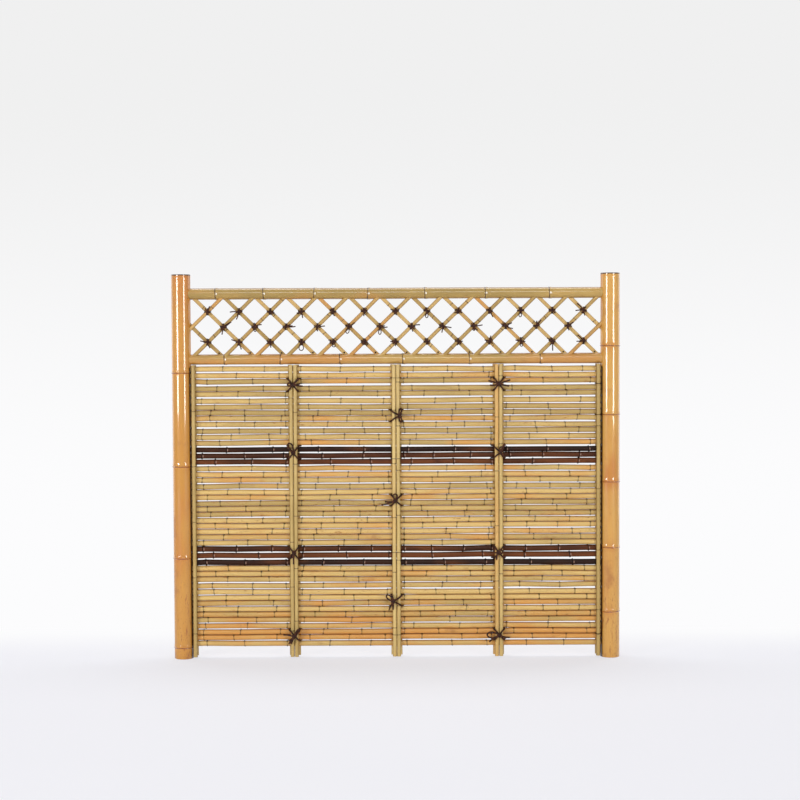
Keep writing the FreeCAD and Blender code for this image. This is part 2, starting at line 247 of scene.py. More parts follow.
class Finish:
    """A material under construction, with short names for the nodes that it uses."""

    def __init__(self, name):
        self.material = bpy.data.materials.new(name)
        self.material.use_nodes = True
        self.tree = self.material.node_tree
        self.surface = self.tree.nodes["Principled BSDF"]

    def new(self, kind):
        """A node of that kind."""
        return self.tree.nodes.new(f"ShaderNode{kind}")

    def put(self, value, socket):
        """Sets an input to a number or colour, or joins it to an output."""
        if isinstance(value, bpy.types.NodeSocket):
            self.tree.links.new(value, socket)
        else:
            socket.default_value = value

    def attribute(self, name, output="Fac"):
        """A value that the mesh carries at each point."""
        node = self.new("Attribute")
        node.attribute_name = name
        return node.outputs[output]

    def noise(self, vector, scale, detail=3.0, roughness=0.55):
        """Soft noise between 0 and 1, with a scale for each direction."""
        mapping = self.new("Mapping")
        self.put(vector, mapping.inputs["Vector"])
        mapping.inputs["Scale"].default_value = scale
        node = self.new("TexNoise")
        self.put(mapping.outputs["Vector"], node.inputs["Vector"])
        node.inputs["Scale"].default_value = 1.0
        node.inputs["Detail"].default_value = detail
        node.inputs["Roughness"].default_value = roughness
        return node.outputs["Fac"]

    def ramp(self, value, low, high, to_low=0.0, to_high=1.0):
        """A smooth step from one value to another."""
        node = self.new("MapRange")
        node.interpolation_type = "SMOOTHSTEP"
        self.put(value, node.inputs["Value"])
        limits = {"From Min": low, "From Max": high, "To Min": to_low, "To Max": to_high}
        for name, number in limits.items():
            node.inputs[name].default_value = number
        return node.outputs["Result"]

    def math(self, operation, *values):
        """A sum, product or other operation on numbers."""
        node = self.new("Math")
        node.operation = operation
        for value, socket in zip(values, node.inputs):
            self.put(value, socket)
        return node.outputs["Value"]

    def mix(self, factor, first, second):
        """A blend of two colours."""
        node = self.new("Mix")
        node.data_type = "RGBA"
        self.put(factor, node.inputs["Factor"])
        self.put(first, node.inputs[6])
        self.put(second, node.inputs[7])
        return node.outputs[2]

    def bump(self, height, strength, distance):
        """A normal that follows a height, given in metres."""
        node = self.new("Bump")
        node.inputs["Strength"].default_value = strength
        node.inputs["Distance"].default_value = distance
        self.put(height, node.inputs["Height"])
        return node.outputs["Normal"]


# %% One recipe for every bamboo skin
# Grime on sawn rims, also used as painted shade on the posts' flanks beside the screen
GRIME_AND_SHADE = (66, 36, 18)
COAT_IOR = 1.65
FIBRE_HEIGHT = 0.25 * MM
# Noise cells in a metre: across the culm both ways, and along it
PATCHES = (14, 14, 4.5)
DRIFT = (9, 9, 7.0)
STRETCHES = (10, 10, 2.8)
STREAKS = (430, 430, 6.0)
BLOTCHES = (110, 110, 24.0)
SPECKS = (260, 260, 150.0)


def bamboo(name, colours, ring_width, ring_middle, spot, gloss, coat,
           coat_gloss=0.15, painted_glint=0.0, shine=0.25, glint_span=0.26, painted_edge_shade=0.62):
    """Bamboo skin: colours by tone and noise, streaks along the grain and a dark ring at each node.

    The ring is as dark as ring_middle on the panel's two faces and full at the culm's edges, where
    the scar's ends also show as spots. A pale dot just above the ring, in the middle of each face, is
    a painted highlight for the glint on the node's swelling; its strength and the span where it fades
    out are arguments. The culm's edges are darkened towards the stain colour as painted shade for the
    crevices between neighbours, by an argument's amount. Where the wood is sawn, a half-cut skin is
    grimy and a fully cut one shows its wood; on the posts a half-cut value also paints shade along the
    flank beside the screen. Ring_width and spot are in mm.
    """
    pale, deep, warm, stain_and_shade, ring = (
        colour(*colours[part]) for part in ("pale", "deep", "warm", "stain_and_shade", "ring")
    )
    skin = Finish(name)
    grain = skin.attribute("grain", "Vector")
    node = skin.attribute("node")
    edge = skin.attribute("edge")
    wear = skin.attribute("wear")
    patches = skin.noise(grain, PATCHES)
    drift = skin.noise(grain, DRIFT, 4.0)
    stretches = skin.noise(grain, STRETCHES)
    streaks = skin.noise(grain, STREAKS, 4.0)
    blotches = skin.noise(grain, BLOTCHES, 4.0, 0.7)
    specks = skin.noise(grain, SPECKS, 2.0, 0.6)

    depth = skin.math("MULTIPLY_ADD", patches, 1.3, skin.attribute("tone"))
    base = skin.mix(skin.ramp(depth, 0.65, 1.65), pale, deep)
    warmth = skin.math("MULTIPLY_ADD", stretches, 3.0, skin.attribute("warm"))
    base = skin.mix(skin.ramp(warmth, 1.6, 2.4), base, warm)
    base = skin.mix(skin.ramp(streaks, 0.42, 0.70, 0.0, 0.40), base, deep)
    base = skin.mix(skin.ramp(drift, 0.60, 0.74, 0.0, 0.55), base, stain_and_shade)
    worn = skin.math("MULTIPLY_ADD", wear, 0.12, blotches)
    spots = skin.ramp(worn, 0.66, 0.80, 0.0, 0.85)
    dots = skin.math("MULTIPLY", skin.ramp(specks, 0.62, 0.70, 0.0, 0.7), wear)
    base = skin.mix(skin.math("MAXIMUM", spots, dots), base, stain_and_shade)
    # Painted shade: the culm's edges, seen from the front, are darkened towards the stain colour for the
    # crevices between neighbours.
    base = skin.mix(skin.ramp(edge, 0.64, 1.0, 0.0, painted_edge_shade), base, stain_and_shade)

    line = skin.ramp(node, 0.4 * ring_width, ring_width, 1.0, 0.0)
    line = skin.math("MULTIPLY", line, skin.ramp(edge, 0.15, 0.85, ring_middle, 1.0))
    line = skin.math("MULTIPLY", line, skin.ramp(blotches, 0.35, 0.55, 0.45, 1.0))
    ends = skin.math("MULTIPLY", skin.ramp(node, 0.3 * spot, spot, 1.0, 0.0), skin.ramp(edge, 0.62, 0.9))
    # Painted highlight: a pale dot just above each node ring, in the middle of each face, for the glint on
    # the node's swelling.
    if painted_glint:
        above = skin.attribute("above")
        starts = skin.ramp(above, 0.8 * ring_width, 1.4 * ring_width, 0.0, painted_glint)
        stops = skin.ramp(above, 1.9 * ring_width, 3.0 * ring_width, 1.0, 0.0)
        painted_glint_mask = skin.math("MULTIPLY", starts, stops)
        painted_glint_mask = skin.math("MULTIPLY", painted_glint_mask, skin.ramp(edge, 0.04, glint_span, 1.0, 0.0))
        base = skin.mix(painted_glint_mask, base, colour(*colours["glint_colour"]))
    base = skin.mix(skin.math("MAXIMUM", line, ends), base, ring)
    # A half-cut value paints grime on sawn rims and, on the posts, painted shade along the flank beside the
    # screen.
    if "sawn" in colours:
        cut = skin.attribute("cut")
        base = skin.mix(skin.ramp(cut, 0.25, 0.55), base, colour(*GRIME_AND_SHADE))
        base = skin.mix(skin.ramp(cut, 0.75, 0.95), base, colour(*colours["sawn"]))

    skin.put(base, skin.surface.inputs["Base Color"])
    skin.put(skin.ramp(streaks, 0.3, 0.8, gloss - 0.06, gloss + 0.14), skin.surface.inputs["Roughness"])
    skin.surface.inputs["Coat Weight"].default_value = coat
    skin.surface.inputs["Coat IOR"].default_value = COAT_IOR
    skin.surface.inputs["Coat Roughness"].default_value = coat_gloss
    skin.surface.inputs["Specular IOR Level"].default_value = shine
    relief = skin.math("MULTIPLY_ADD", streaks, 0.6, skin.math("MULTIPLY", specks, 0.4))
    skin.put(skin.bump(relief, 0.35, FIBRE_HEIGHT), skin.surface.inputs["Normal"])
    return skin.material


# %% The bamboo skins
# Each skin but the posts' gets painted shade along its edges, most on the light canes.
post_skin = bamboo("post_skin", {
    "pale": (216, 162, 76), "deep": (203, 140, 51), "warm": (200, 126, 50), "stain_and_shade": (164, 97, 46),
    "ring": (136, 70, 36), "sawn": (168, 120, 70),
}, ring_width=2.4, ring_middle=0.8, spot=2.6, gloss=0.36, coat=0.8, coat_gloss=0.06, shine=0.15)
# The pale dots above the rails' node rings are a painted highlight.
rail_skin = bamboo("rail_skin", {
    "pale": (201, 165, 90), "deep": (160, 131, 66), "warm": (200, 140, 66), "stain_and_shade": (136, 82, 38),
    "ring": (62, 36, 18), "glint_colour": (255, 250, 235),
}, ring_width=3.0, ring_middle=0.85, spot=4.2, gloss=0.40, coat=0.6, coat_gloss=0.12, painted_glint=1.0)
light_skin = bamboo("light_cane_skin", {
    "pale": (226, 191, 119), "deep": (182, 153, 90), "warm": (219, 156, 78), "stain_and_shade": (146, 80, 34),
    "ring": (44, 24, 11),
}, ring_width=3.0, ring_middle=0.55, spot=6.4, gloss=0.44, coat=0.25, painted_edge_shade=0.85)
batten_skin = bamboo("batten_skin", {
    "pale": (224, 195, 128), "deep": (178, 150, 90), "warm": (222, 174, 102), "stain_and_shade": (112, 76, 38),
    "ring": (80, 50, 24), "sawn": (140, 102, 58),
}, ring_width=2.2, ring_middle=0.7, spot=3.0, gloss=0.5, coat=0.1)
lattice_skin = bamboo("lattice_skin", {
    "pale": (210, 174, 110), "deep": (168, 138, 80), "warm": (206, 148, 80), "stain_and_shade": (116, 70, 32),
    "ring": (54, 30, 14),
}, ring_width=2.4, ring_middle=0.7, spot=3.6, gloss=0.46, coat=0.15)
# The pale strokes above the dark canes' node rings are a painted highlight.
dark_skin = bamboo("dark_cane_skin", {
    "pale": (72, 37, 18), "deep": (28, 13, 7), "warm": (112, 62, 30), "stain_and_shade": (12, 6, 4),
    "ring": (9, 5, 4), "glint_colour": (178, 142, 124),
}, ring_width=2.6, ring_middle=0.9, spot=4.4, gloss=0.40, coat=0.03, painted_glint=0.75, shine=0.14, glint_span=0.72)
print("finishes made:", len(bpy.data.materials))

# %% [markdown]
# ## Posts
# Each post is a thick culm sawn just above a node. Its foot is open up to the first wall, its top
# is a shallow dish, and a groove on the inner side takes the ends of the canes. The whole outline,
# from the floor of the bore round to the floor of the dish, is one line of rings, so the post is
# a single closed skin. The groove is the same skin pressed in where it faces the screen.

# %% Post values, with the places read from the frame
POST_FOOT_RADIUS = 37.5 * MM
POST_TOP_RADIUS = 37.0 * MM
POST_BORE_RADIUS = 26 * MM
POST_DISH_DEPTH = 5 * MM
POST_TOP_NODE = 10 * MM
POST_HALF_WALL = 4 * MM
POST_INTERNODE = {"left": 373 * MM, "right": 273 * MM}
POST_RATIO = 0.98
POST_LOWEST_NODE = 15 * MM
POST_RIDGE = (2.0 * MM, 1.7 * MM, 1.1 * MM, 4.5 * MM)
POST_NEAR = (-26, -16, -10, -6, -4, -2.8, -1.8, -0.9, 0, 0.9, 1.8, 2.8, 4, 6, 8, 10.5, 14, 20, 28)
POST_SPACING = 40 * MM
POST_SIDES = 71
POST_LEAN = 0.03
POST_OVAL = 0.006
POST_GRAIN = 9.0
POST_EDGE = 0.6
SANDED_RING = 0.15
SAWN_BEVEL = 0.8 * MM
BEVEL_RINGS = (1.2 * MM, 1 * MM)
DISH_TAPER = 2 * MM
FLOOR_CENTRE = 1 * MM
GROOVE_HALF_WIDTH = 10.4 * MM
GROOVE_CLEARANCE = 0.3 * MM
GROOVE_SIDES = 9
GROOVE_CORNER = 0.012
GROOVE_MARGIN = 1 * MM
GROOVE_STEP = (0.8 * MM, 1.2 * MM)
GRIMY_TOP = 4.5 * MM
GRIMY_FOOT = 0.5 * MM
# Reach of the painted flank shade in radians from the groove, and the level that paints grime and that shade
FLANK_SHADE_REACH = 0.5
GRIME_AND_SHADE_LEVEL = 0.6
NODE_BLUSH = 25 * MM
FOOT_WEAR = 0.35

post_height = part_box("post_left")[1].z
post_x = {side: sum(corner.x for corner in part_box(f"post_{side}")) / 2 for side in ("left", "right")}
screen_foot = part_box("lower_light_canes")[0].z
screen_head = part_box("upper_light_canes")[1].z
cane_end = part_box("lower_light_canes")[1].x
print("posts at", {side: round(x, 4) for side, x in post_x.items()})


# %% Make the posts
def post(side, tone):
    """A culm whose radius is the smaller of its skin's and the distance to the groove's flat floor."""
    inward = 1 if side == "left" else -1
    drops = node_places(POST_TOP_NODE, POST_INTERNODE[side], POST_RATIO, post_height - POST_LOWEST_NODE)
    nodes = (post_height - drops)[::-1]
    groove_ends = [screen_foot - step for step in GROOVE_STEP]
    groove_ends += [screen_head + step for step in GROOVE_STEP]
    bevels = [BEVEL_RINGS[0], post_height - BEVEL_RINGS[1]]
    places = stations_along(post_height, nodes, POST_NEAR, POST_SPACING)
    places = np.unique(np.concatenate([places, groove_ends, bevels]))
    radius = POST_FOOT_RADIUS + (POST_TOP_RADIUS - POST_FOOT_RADIUS) * places / post_height
    radius[[0, -1]] -= SAWN_BEVEL

    bore = nodes[0] - POST_HALF_WALL
    dish = post_height - POST_DISH_DEPTH
    skin = np.concatenate([np.zeros(3), np.ones(len(places)), np.zeros(3)])
    rings = np.concatenate([[bore, bore, 0], places, [post_height, dish, dish]])
    reach = np.concatenate([
        [FLOOR_CENTRE, POST_BORE_RADIUS, POST_BORE_RADIUS], radius,
        [POST_BORE_RADIUS, POST_BORE_RADIUS - DISH_TAPER, FLOOR_CENTRE],
    ])
    half = math.asin(GROOVE_HALF_WIDTH / POST_TOP_RADIUS)
    corner = half + GROOVE_CORNER
    angle = np.concatenate([
        np.linspace(-half, half, GROOVE_SIDES), np.linspace(corner, 2 * math.pi - corner, POST_SIDES),
    ])
    lean = rng.uniform(-POST_LEAN, POST_LEAN, len(nodes))
    gap = node_gap(rings, nodes, lean, reach[:, None] * np.sin(angle + rng.uniform(0, 6))[None, :])
    gap = np.where(skin[:, None] > 0, gap, FAR_FROM_NODES)
    oval = 1 + POST_OVAL * np.cos(2 * angle + 0.7)
    at_top = (rings > post_height - 3 * POST_TOP_NODE)[:, None]
    relief = node_relief(gap, *POST_RIDGE) * np.where(at_top, SANDED_RING, 1.0)
    spread = reach[:, None] * oval[None, :] + relief
    beside_screen = (rings > screen_foot - GROOVE_MARGIN) & (rings < screen_head + GROOVE_MARGIN)
    in_groove = (np.abs(angle) <= half + 1e-6)[None, :] & (beside_screen & (skin > 0))[:, None]
    floor = (abs(post_x[side]) - cane_end - GROOVE_CLEARANCE) / np.cos(np.clip(angle, -1, 1))
    spread = np.where(in_groove, floor[None, :], spread)

    x = post_x[side] + inward * spread * np.cos(angle)
    y = inward * spread * np.sin(angle)
    z = np.broadcast_to(rings[:, None], spread.shape)
    grimy = (rings > post_height - GRIMY_TOP) | (rings < GRIMY_FOOT)
    sawn = np.maximum(1 - skin, GRIME_AND_SHADE_LEVEL * grimy)
    # Painted shade: a dark band on the post's flank beside the groove, up to the screen's head, for the
    # shade between post and end batten.
    from_groove = np.minimum(np.abs(angle), 2 * math.pi - np.abs(angle)) - half
    painted_flank_shade = np.clip(1 - from_groove / FLANK_SHADE_REACH, 0, GRIME_AND_SHADE_LEVEL)[None, :] * (rings < screen_head)[:, None]
    painted = np.where(at_top, FAR_FROM_NODES, gap)
    values = {
        "grain": np.stack([spread * np.cos(angle), spread * np.sin(angle), z + POST_GRAIN * inward], -1),
        **ring_values(painted),
        "edge": np.full(spread.shape, POST_EDGE),
        # The cut value holds the sawn and grimy rims and the painted flank shade.
        "cut": np.maximum(sawn[:, None], painted_flank_shade),
        "tone": np.full(spread.shape, tone),
        "warm": 0.05 + 0.4 * np.exp(-np.abs(gap) / NODE_BLUSH),
        "wear": np.broadcast_to(0.25 + 0.75 * np.exp(-(rings / FOOT_WEAR) ** 2)[:, None], spread.shape),
    }
    tube = {"points": np.stack([x, y, z], -1), "values": values}
    piece_from_tubes(f"culm_post_{side}", [tube], post_skin, [f"post_{side}"])


post("left", 0.8)
post("right", -0.4)

# %% [markdown]
# ## Rails
# A rail is a slimmer culm whose ends are sawn to a saddle, so that they sit round the posts. A
# boolean cut would do it, but would leave rough triangles. Instead the rings near each end are
# pushed along the rail until the last one lies on the post: each point moves by the distance from
# the post's flank to its surface at that depth.

# %% Make the rails
RAIL_HABIT = {
    "ridge": (1.3 * MM, 1.6 * MM, 1.8 * MM, 4.2 * MM), "sides": 40, "spacing": 30 * MM,
    "near": (-14, -8, -5, -3.4, -2.2, -1.4, -0.7, 0, 0.7, 1.4, 2.2, 3.4, 5, 7, 9.5, 13, 18),
}
RAIL_RATIO = 1.06
RAIL_LEAN = 0.06
# In mm, up or down at each node
RAIL_BEND = 0.8
RAIL_GRAIN = 11
SADDLE_REACH = 70 * MM


def rail(name, radii, first_node, internode, tones, warms):
    """A culm along X: x = place + saddle(y), where the saddle fades out away from the post."""
    low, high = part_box(name)
    post_radius = POST_TOP_RADIUS + GROOVE_CLEARANCE
    start = post_x["left"] + post_radius
    length = post_x["right"] - post_radius - start
    nodes = node_places(first_node - post_radius, internode, RAIL_RATIO, length)
    places = stations_along(length, nodes, RAIL_HABIT["near"], RAIL_HABIT["spacing"])
    share = places / length
    looks = {
        "seed": RAIL_GRAIN * low.z, "lean": rng.uniform(-RAIL_LEAN, RAIL_LEAN, len(nodes)), "wear": 0.35,
        "tone": tones[0] + (tones[1] - tones[0]) * share,
        "warm": warms[0] + (warms[1] - warms[0]) * share,
    }
    knots = np.concatenate([[0], nodes, [length]])
    upwards = np.r_[0, rng.uniform(-RAIL_BEND, RAIL_BEND, len(nodes)) * MM, 0]
    bends = (knots, np.zeros(len(knots)), upwards)
    foot = (start, 0, (low.z + high.z) / 2)
    tube = culm(foot, ALONG_X, UPWARDS, length, radii, nodes, RAIL_HABIT, looks, bends)
    points = tube["points"]
    saddle = post_radius - np.sqrt(np.clip(post_radius ** 2 - points[..., 1] ** 2, 0, None))
    fade_left = np.clip(1 - places / SADDLE_REACH, 0, 1) ** 2
    fade_right = np.clip(1 - (length - places) / SADDLE_REACH, 0, 1) ** 2
    points[..., 0] += saddle * (fade_right - fade_left)[:, None]
    piece_from_tubes(f"culm_{name}", [tube], rail_skin, [name])


rail("top_rail", (22 * MM, 21.25 * MM), 135 * MM, 186 * MM, (0.85, 0.5), (0.0, 0.1))
rail("middle_rail", (20 * MM, 20.75 * MM), 168 * MM, 218 * MM, (0.4, 0.4), (0.5, 0.35))

# %% [markdown]
# ## How the canes settle
# The screen is a stack of thin canes. No two are alike: each has its own thickness, its own
# spacing of nodes and a small bend at every node, so the gaps open and close along the row. First
# each cane is bent at random. Then the whole stack is settled as if it were pressed together:
# where two neighbours overlap, both move apart by half of it, over and over, until none do. Where
# a lashing passes between two canes, they are kept apart by the twine's thickness as well.

# %% Fields, ties and the room they need
# Each field from the ground up: how many canes, how much taller than thick they are, and the tone
# from pale to olive and the warmth that the field leans to
FIELDS = {
    "lower_light_canes": {"count": 14, "oval": 1.06, "tone": 0.0, "warm": 0.05},
    "lower_dark_canes": {"count": 3, "oval": 1.1, "tone": 0.0, "warm": 0.1},
    "middle_light_canes": {"count": 14, "oval": 1.05, "tone": 0.0, "warm": 0.12},
    "upper_dark_canes": {"count": 3, "oval": 1.05, "tone": 0.0, "warm": 0.0},
    "upper_light_canes": {"count": 13, "oval": 1.05, "tone": 0.3, "warm": -0.25},
}
CANE_DIAMETER = 20.2 * MM
CANE_TOUCH = 0.2 * MM
TIE_ROOM = 2.0 * MM
# Each tie: batten station, gap from the top, knot's shift in mm, loops (heading in degrees, reach
# and half width in mm) and loose ends (heading, reach)
TIES = (
    (-1, 3, 0, ((170, 20, 6),), ((-6, 39), (8, 30), (45, 38))),
    (0, 8, 13, ((78, 30, 5), (-72, 26, 5)), ()),
    (1, 3, 0, (), ((22, 46), (160, 43), (200, 34), (-12, 40))),
    (-1, 14, 0, ((113, 42, 9),), ()),
    (1, 14, 6, ((80, 22, 6),), ((72, 38), (-42, 24))),
    (0, 22, -4, ((92, 26, 8),), ((203, 56), (196, 40))),
    (-1, 31, 0, ((232, 20, 5),), ((-92, 42),)),
    (1, 31, -4, ((150, 19, 7), (15, 17, 7)), ((-110, 30),)),
    (0, 39, -13, ((137, 36, 7),), ((237, 36), (266, 32), (97, 27))),
    (-1, 45, 0, ((53, 33, 5),), ((168, 43), (232, 38), (250, 34))),
    (1, 45, 0, ((178, 48, 11),), ((204, 47), (-25, 41))),
)
WIRE_GAPS = (2, 15, 31, 45)
END_WIRE_GAPS = (3, 8, 45)
batten_bay = (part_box("front_batten_7")[0].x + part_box("front_batten_6")[1].x) / 2
end_batten_x = (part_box("front_batten_8")[0].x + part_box("front_batten_8")[1].x) / 2
print("battens stand at", round(batten_bay, 4), "and", round(end_batten_x, 4), "m")

# %% Settle the stack
STACK_STATIONS = 161
# Spans of the first node's place, the internode and the ratio from one internode to the next
CANE_NODES = ((0.02, 0.15), (0.137, 0.187), (0.98, 1.02))
NODE_SCATTER = 0.012
NODE_TO_BATTEN = 30 * MM
NODE_TO_END = 12 * MM
# In mm, at either end
CANE_RADIUS = (9.7, 10.25)
CANE_TILT = 2.2 * MM
CANE_SHIFT = 1.5 * MM
CANE_BEND = 0.9 * MM
TIE_REACH = 32 * MM
SETTLE_ROUNDS = 120
STACK_PLAY = 1.5 * MM

cane_length = 2 * cane_end
stack_x = np.linspace(0, cane_length, STACK_STATIONS)
heights = np.concatenate([
    np.linspace(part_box(name)[0].z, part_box(name)[1].z - CANE_DIAMETER, field["count"]) + CANE_DIAMETER / 2
    for name, field in FIELDS.items()
])
cane_count = len(heights)
batten_line = np.array([-end_batten_x, -batten_bay, 0, batten_bay, end_batten_x]) + cane_end


def cane_nodes():
    """Nodes of one cane, unevenly spaced, none of them right under a batten."""
    nodes = node_places(*(rng.uniform(*span) for span in CANE_NODES), cane_length)
    nodes = nodes + rng.uniform(-NODE_SCATTER, NODE_SCATTER, len(nodes))
    batten = batten_line[np.abs(nodes[:, None] - batten_line[None, :]).argmin(1)]
    aside = np.where(nodes < batten, -NODE_TO_BATTEN, NODE_TO_BATTEN)
    nodes = np.where(np.abs(nodes - batten) < NODE_TO_BATTEN, batten + aside, nodes)
    return np.unique(nodes[(nodes > NODE_TO_END) & (nodes < cane_length - NODE_TO_END)])


stack_nodes = [cane_nodes() for _ in range(cane_count)]
stack_radii = rng.uniform(*CANE_RADIUS, (cane_count, 2)) * MM
stack_oval = np.concatenate([np.full(field["count"], field["oval"]) for field in FIELDS.values()])
stack_thick = stack_radii[:, :1] + (stack_radii[:, 1:] - stack_radii[:, :1]) * stack_x / cane_length
stack_thick = stack_thick * stack_oval[:, None]
stack_tilt = rng.normal(0, CANE_TILT, (cane_count, 1)) * (stack_x / cane_length - 0.5)
stack_z = heights[:, None] + rng.normal(0, CANE_SHIFT, (cane_count, 1)) + stack_tilt
for row in range(cane_count):
    knots = np.concatenate([[0], stack_nodes[row], [cane_length]])
    stack_z[row] += np.interp(stack_x, knots, rng.normal(0, CANE_BEND, len(knots)))

room = stack_thick[1:] + stack_thick[:-1] + CANE_TOUCH
for station, gap, *_ in TIES:
    beside = np.abs(stack_x - cane_end - station * batten_bay) < TIE_REACH
    for passed in (gap - 1, gap + 1):
        room[cane_count - 1 - passed] += TIE_ROOM * beside
for _ in range(SETTLE_ROUNDS):
    overlap = np.clip(room - np.diff(stack_z, axis=0), 0, None) / 2
    stack_z[:-1] -= overlap
    stack_z[1:] += overlap
    stack_z[0] = np.maximum(stack_z[0], screen_foot + stack_thick[0] - STACK_PLAY)
    stack_z[-1] = np.minimum(stack_z[-1], screen_head - stack_thick[-1] + STACK_PLAY)
open_gaps = np.diff(stack_z, axis=0) - stack_thick[1:] - stack_thick[:-1]
print("gaps between canes from", round(open_gaps.min() / MM, 2), "to", round(open_gaps.max() / MM, 2), "mm")


def gap_height(gap, x):
    """Height of the middle of the gap under so many canes from the top, at a place along the panel."""
    above = cane_count - gap
    under_edge = np.interp(x + cane_end, stack_x, stack_z[above] - stack_thick[above])
    upper_edge = np.interp(x + cane_end, stack_x, stack_z[above - 1] + stack_thick[above - 1])
    return (under_edge + upper_edge) / 2


# %% [markdown]
# ## Canes of the screen
# Each cane now follows its own line in the settled stack. Most are straw or olive, and one in
# five is a warm orange, as canes are when they have dried in the sun. The two dark bands are
# smoked canes with stout nodes and a nearly black skin that keeps a little copper in places.

# %% Make the cane fields
CANE_HABIT = {
    "ridge": (1.5 * MM, 1.6 * MM, 0.6 * MM, 3 * MM), "sides": 14, "spacing": 55 * MM,
    "near": (-9, -4.5, -2.8, -1.7, -0.8, 0, 0.8, 1.7, 2.8, 4.5, 7, 11),
}
DARK_CANE_HABIT = {**CANE_HABIT, "ridge": (2.9 * MM, 2.1 * MM, 1.2 * MM, 3.6 * MM)}
CANE_LEAN = 0.16
CANE_GRAIN = 3.1
SUNNED = 0.2
WARMTHS = [-0.25, 0.0, 0.2, 0.6]
WARMTH_SHARES = [0.3, 0.3, 0.2, 0.2]


def cane(row, field_name):
    """One cane along X, bent along its line in the stack and warmer towards the ground."""
    field = FIELDS[field_name]
    habit = DARK_CANE_HABIT if "dark" in field_name else CANE_HABIT
    nodes = stack_nodes[row]
    sunned = SUNNED * (1 - row / cane_count)
    looks = {
        "seed": CANE_GRAIN * row, "lean": rng.uniform(-CANE_LEAN, CANE_LEAN, len(nodes)),
        "tone": rng.uniform(-0.1, 0.8) + field["tone"],
        "warm": rng.choice(WARMTHS, p=WARMTH_SHARES) + sunned + field["warm"],
        "wear": rng.uniform(0.1, 0.8), "oval": stack_oval[row],
    }
    bends = (stack_x, np.zeros(len(stack_x)), stack_z[row])
    start = (-cane_end, 0, 0)
    return culm(start, ALONG_X, UPWARDS, cane_length, stack_radii[row], nodes, habit, looks, bends)


row = 0
for field_name, field in FIELDS.items():
    is_dark = "dark" in field_name
    canes = [cane(row + index, field_name) for index in range(field["count"])]
    row += field["count"]
    piece_from_tubes(
        f"stacked_{field_name}", canes, dark_skin if is_dark else light_skin,
        [field_name],
    )

# %% [markdown]
# ## Battens
# Slim pale canes stand on both faces and clamp the screen. Their sawn ends show the hollow, so
# the line of rings turns over the wall's edge and runs a little way down the bore before it
# closes. A batten bends less than a cane because the lashings hold it straight.

# %% Make the battens
BATTEN_HABIT = {
    "ridge": (0.45 * MM, 1.3 * MM, 0.25 * MM, 3 * MM), "sides": 18, "spacing": 60 * MM,
    "near": CANE_HABIT["near"],
}
# Tone from pale to olive, and warmth, from the left end to the right
BATTEN_LOOKS = {
    "1": (0.7, -0.2), "2": (0.6, -0.2), "3": (0.5, -0.1), "4": (0.2, 0.1),
    "5": (0.3, 0.0), "6": (0.1, 0.65), "7": (0.4, -0.1), "8": (0.8, -0.2),
}
BATTEN_WALL = 3.6 * MM
BATTEN_BORE = 22 * MM
# Spans of the first node's place, the internode and the ratio, as for the canes
BATTEN_NODES = ((0.05, 0.2), (0.17, 0.25), (0.98, 1.03))
BATTEN_HEAD = 0.03
BATTEN_LEAN = 0.1
BATTEN_SLIMMING = (0.91, 0.95)


def batten(node):
    """An upright cane with a turned-in hollow at each end."""
    low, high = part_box(node)
    length = high.z - low.z
    nodes = node_places(*(rng.uniform(*span) for span in BATTEN_NODES), length - BATTEN_HEAD)
    tone, warm = BATTEN_LOOKS[node[-1]]
    looks = {
        "seed": rng.uniform(0, 60), "lean": rng.uniform(-BATTEN_LEAN, BATTEN_LEAN, len(nodes)),
        "tone": tone, "warm": warm, "wear": rng.uniform(0.1, 0.4),
    }
    knots = np.concatenate([[0], nodes, [length]])
    bends = (knots, rng.uniform(-0.5, 0.5, len(knots)) * MM, rng.uniform(-0.15, 0.15, len(knots)) * MM)
    thick = (high.x - low.x) / 2
    radii = thick * rng.uniform(*BATTEN_SLIMMING, 2)
    middle = np.array([(low.x + high.x) / 2, (low.y + high.y) / 2, low.z])
    partner = batten_line[np.abs(batten_line - cane_end - middle[0]).argmin()] - cane_end
    slimmer = thick - radii.mean()
    start = middle - slimmer * np.array([np.sign(round(middle[0] - partner, 4)), np.sign(middle[1]), 0])
    hollow = (BATTEN_WALL, BATTEN_BORE)
    tube = culm(start, UPWARDS, BACKWARDS, length, radii, nodes, BATTEN_HABIT, looks, bends, hollow)
    piece_from_tubes(f"cane_{node}", [tube], batten_skin, [node])


for face in ("front", "back"):
    for number in range(1, 9):
        batten(f"{face}_batten_{number}")

# %% [markdown]
# ## Lattice strips
# The lattice is made of canes split down the middle, laid in two layers with their flat faces
# together. A strip's section is an arc closed by a straight chord. Its ends are sawn to sit on the
# round rails: each line of the section is as long as it needs to be to reach the rail at its own
# depth, and only the last few centimetres are stretched for that, so the nodes stay square.

# %% Lattice values, with the places read from the frame
STRIP_RADIUS = 7.5 * MM
ROW_RISE = 59.5 * MM
COLUMNS = 13
TIE_WIDTH = 4 * MM
STRIP_NEAR = (-8, -4, -2.2, -1, 0, 1, 2.2, 4, 8)
STRIP_RIDGE = (0.09, 1.4 * MM, 0.05, 3 * MM)
END_REACH = 26 * MM
STRIP_CROWN = 1.6 * MM
HOUSING = 12 * MM
HALF_GAP = 0.15 * MM
ARC_DEPTH = 0.5 * MM
STRIP_SPACING = 24 * MM
STRIP_LEAN = 0.2
STRIP_GRAIN = 2.3

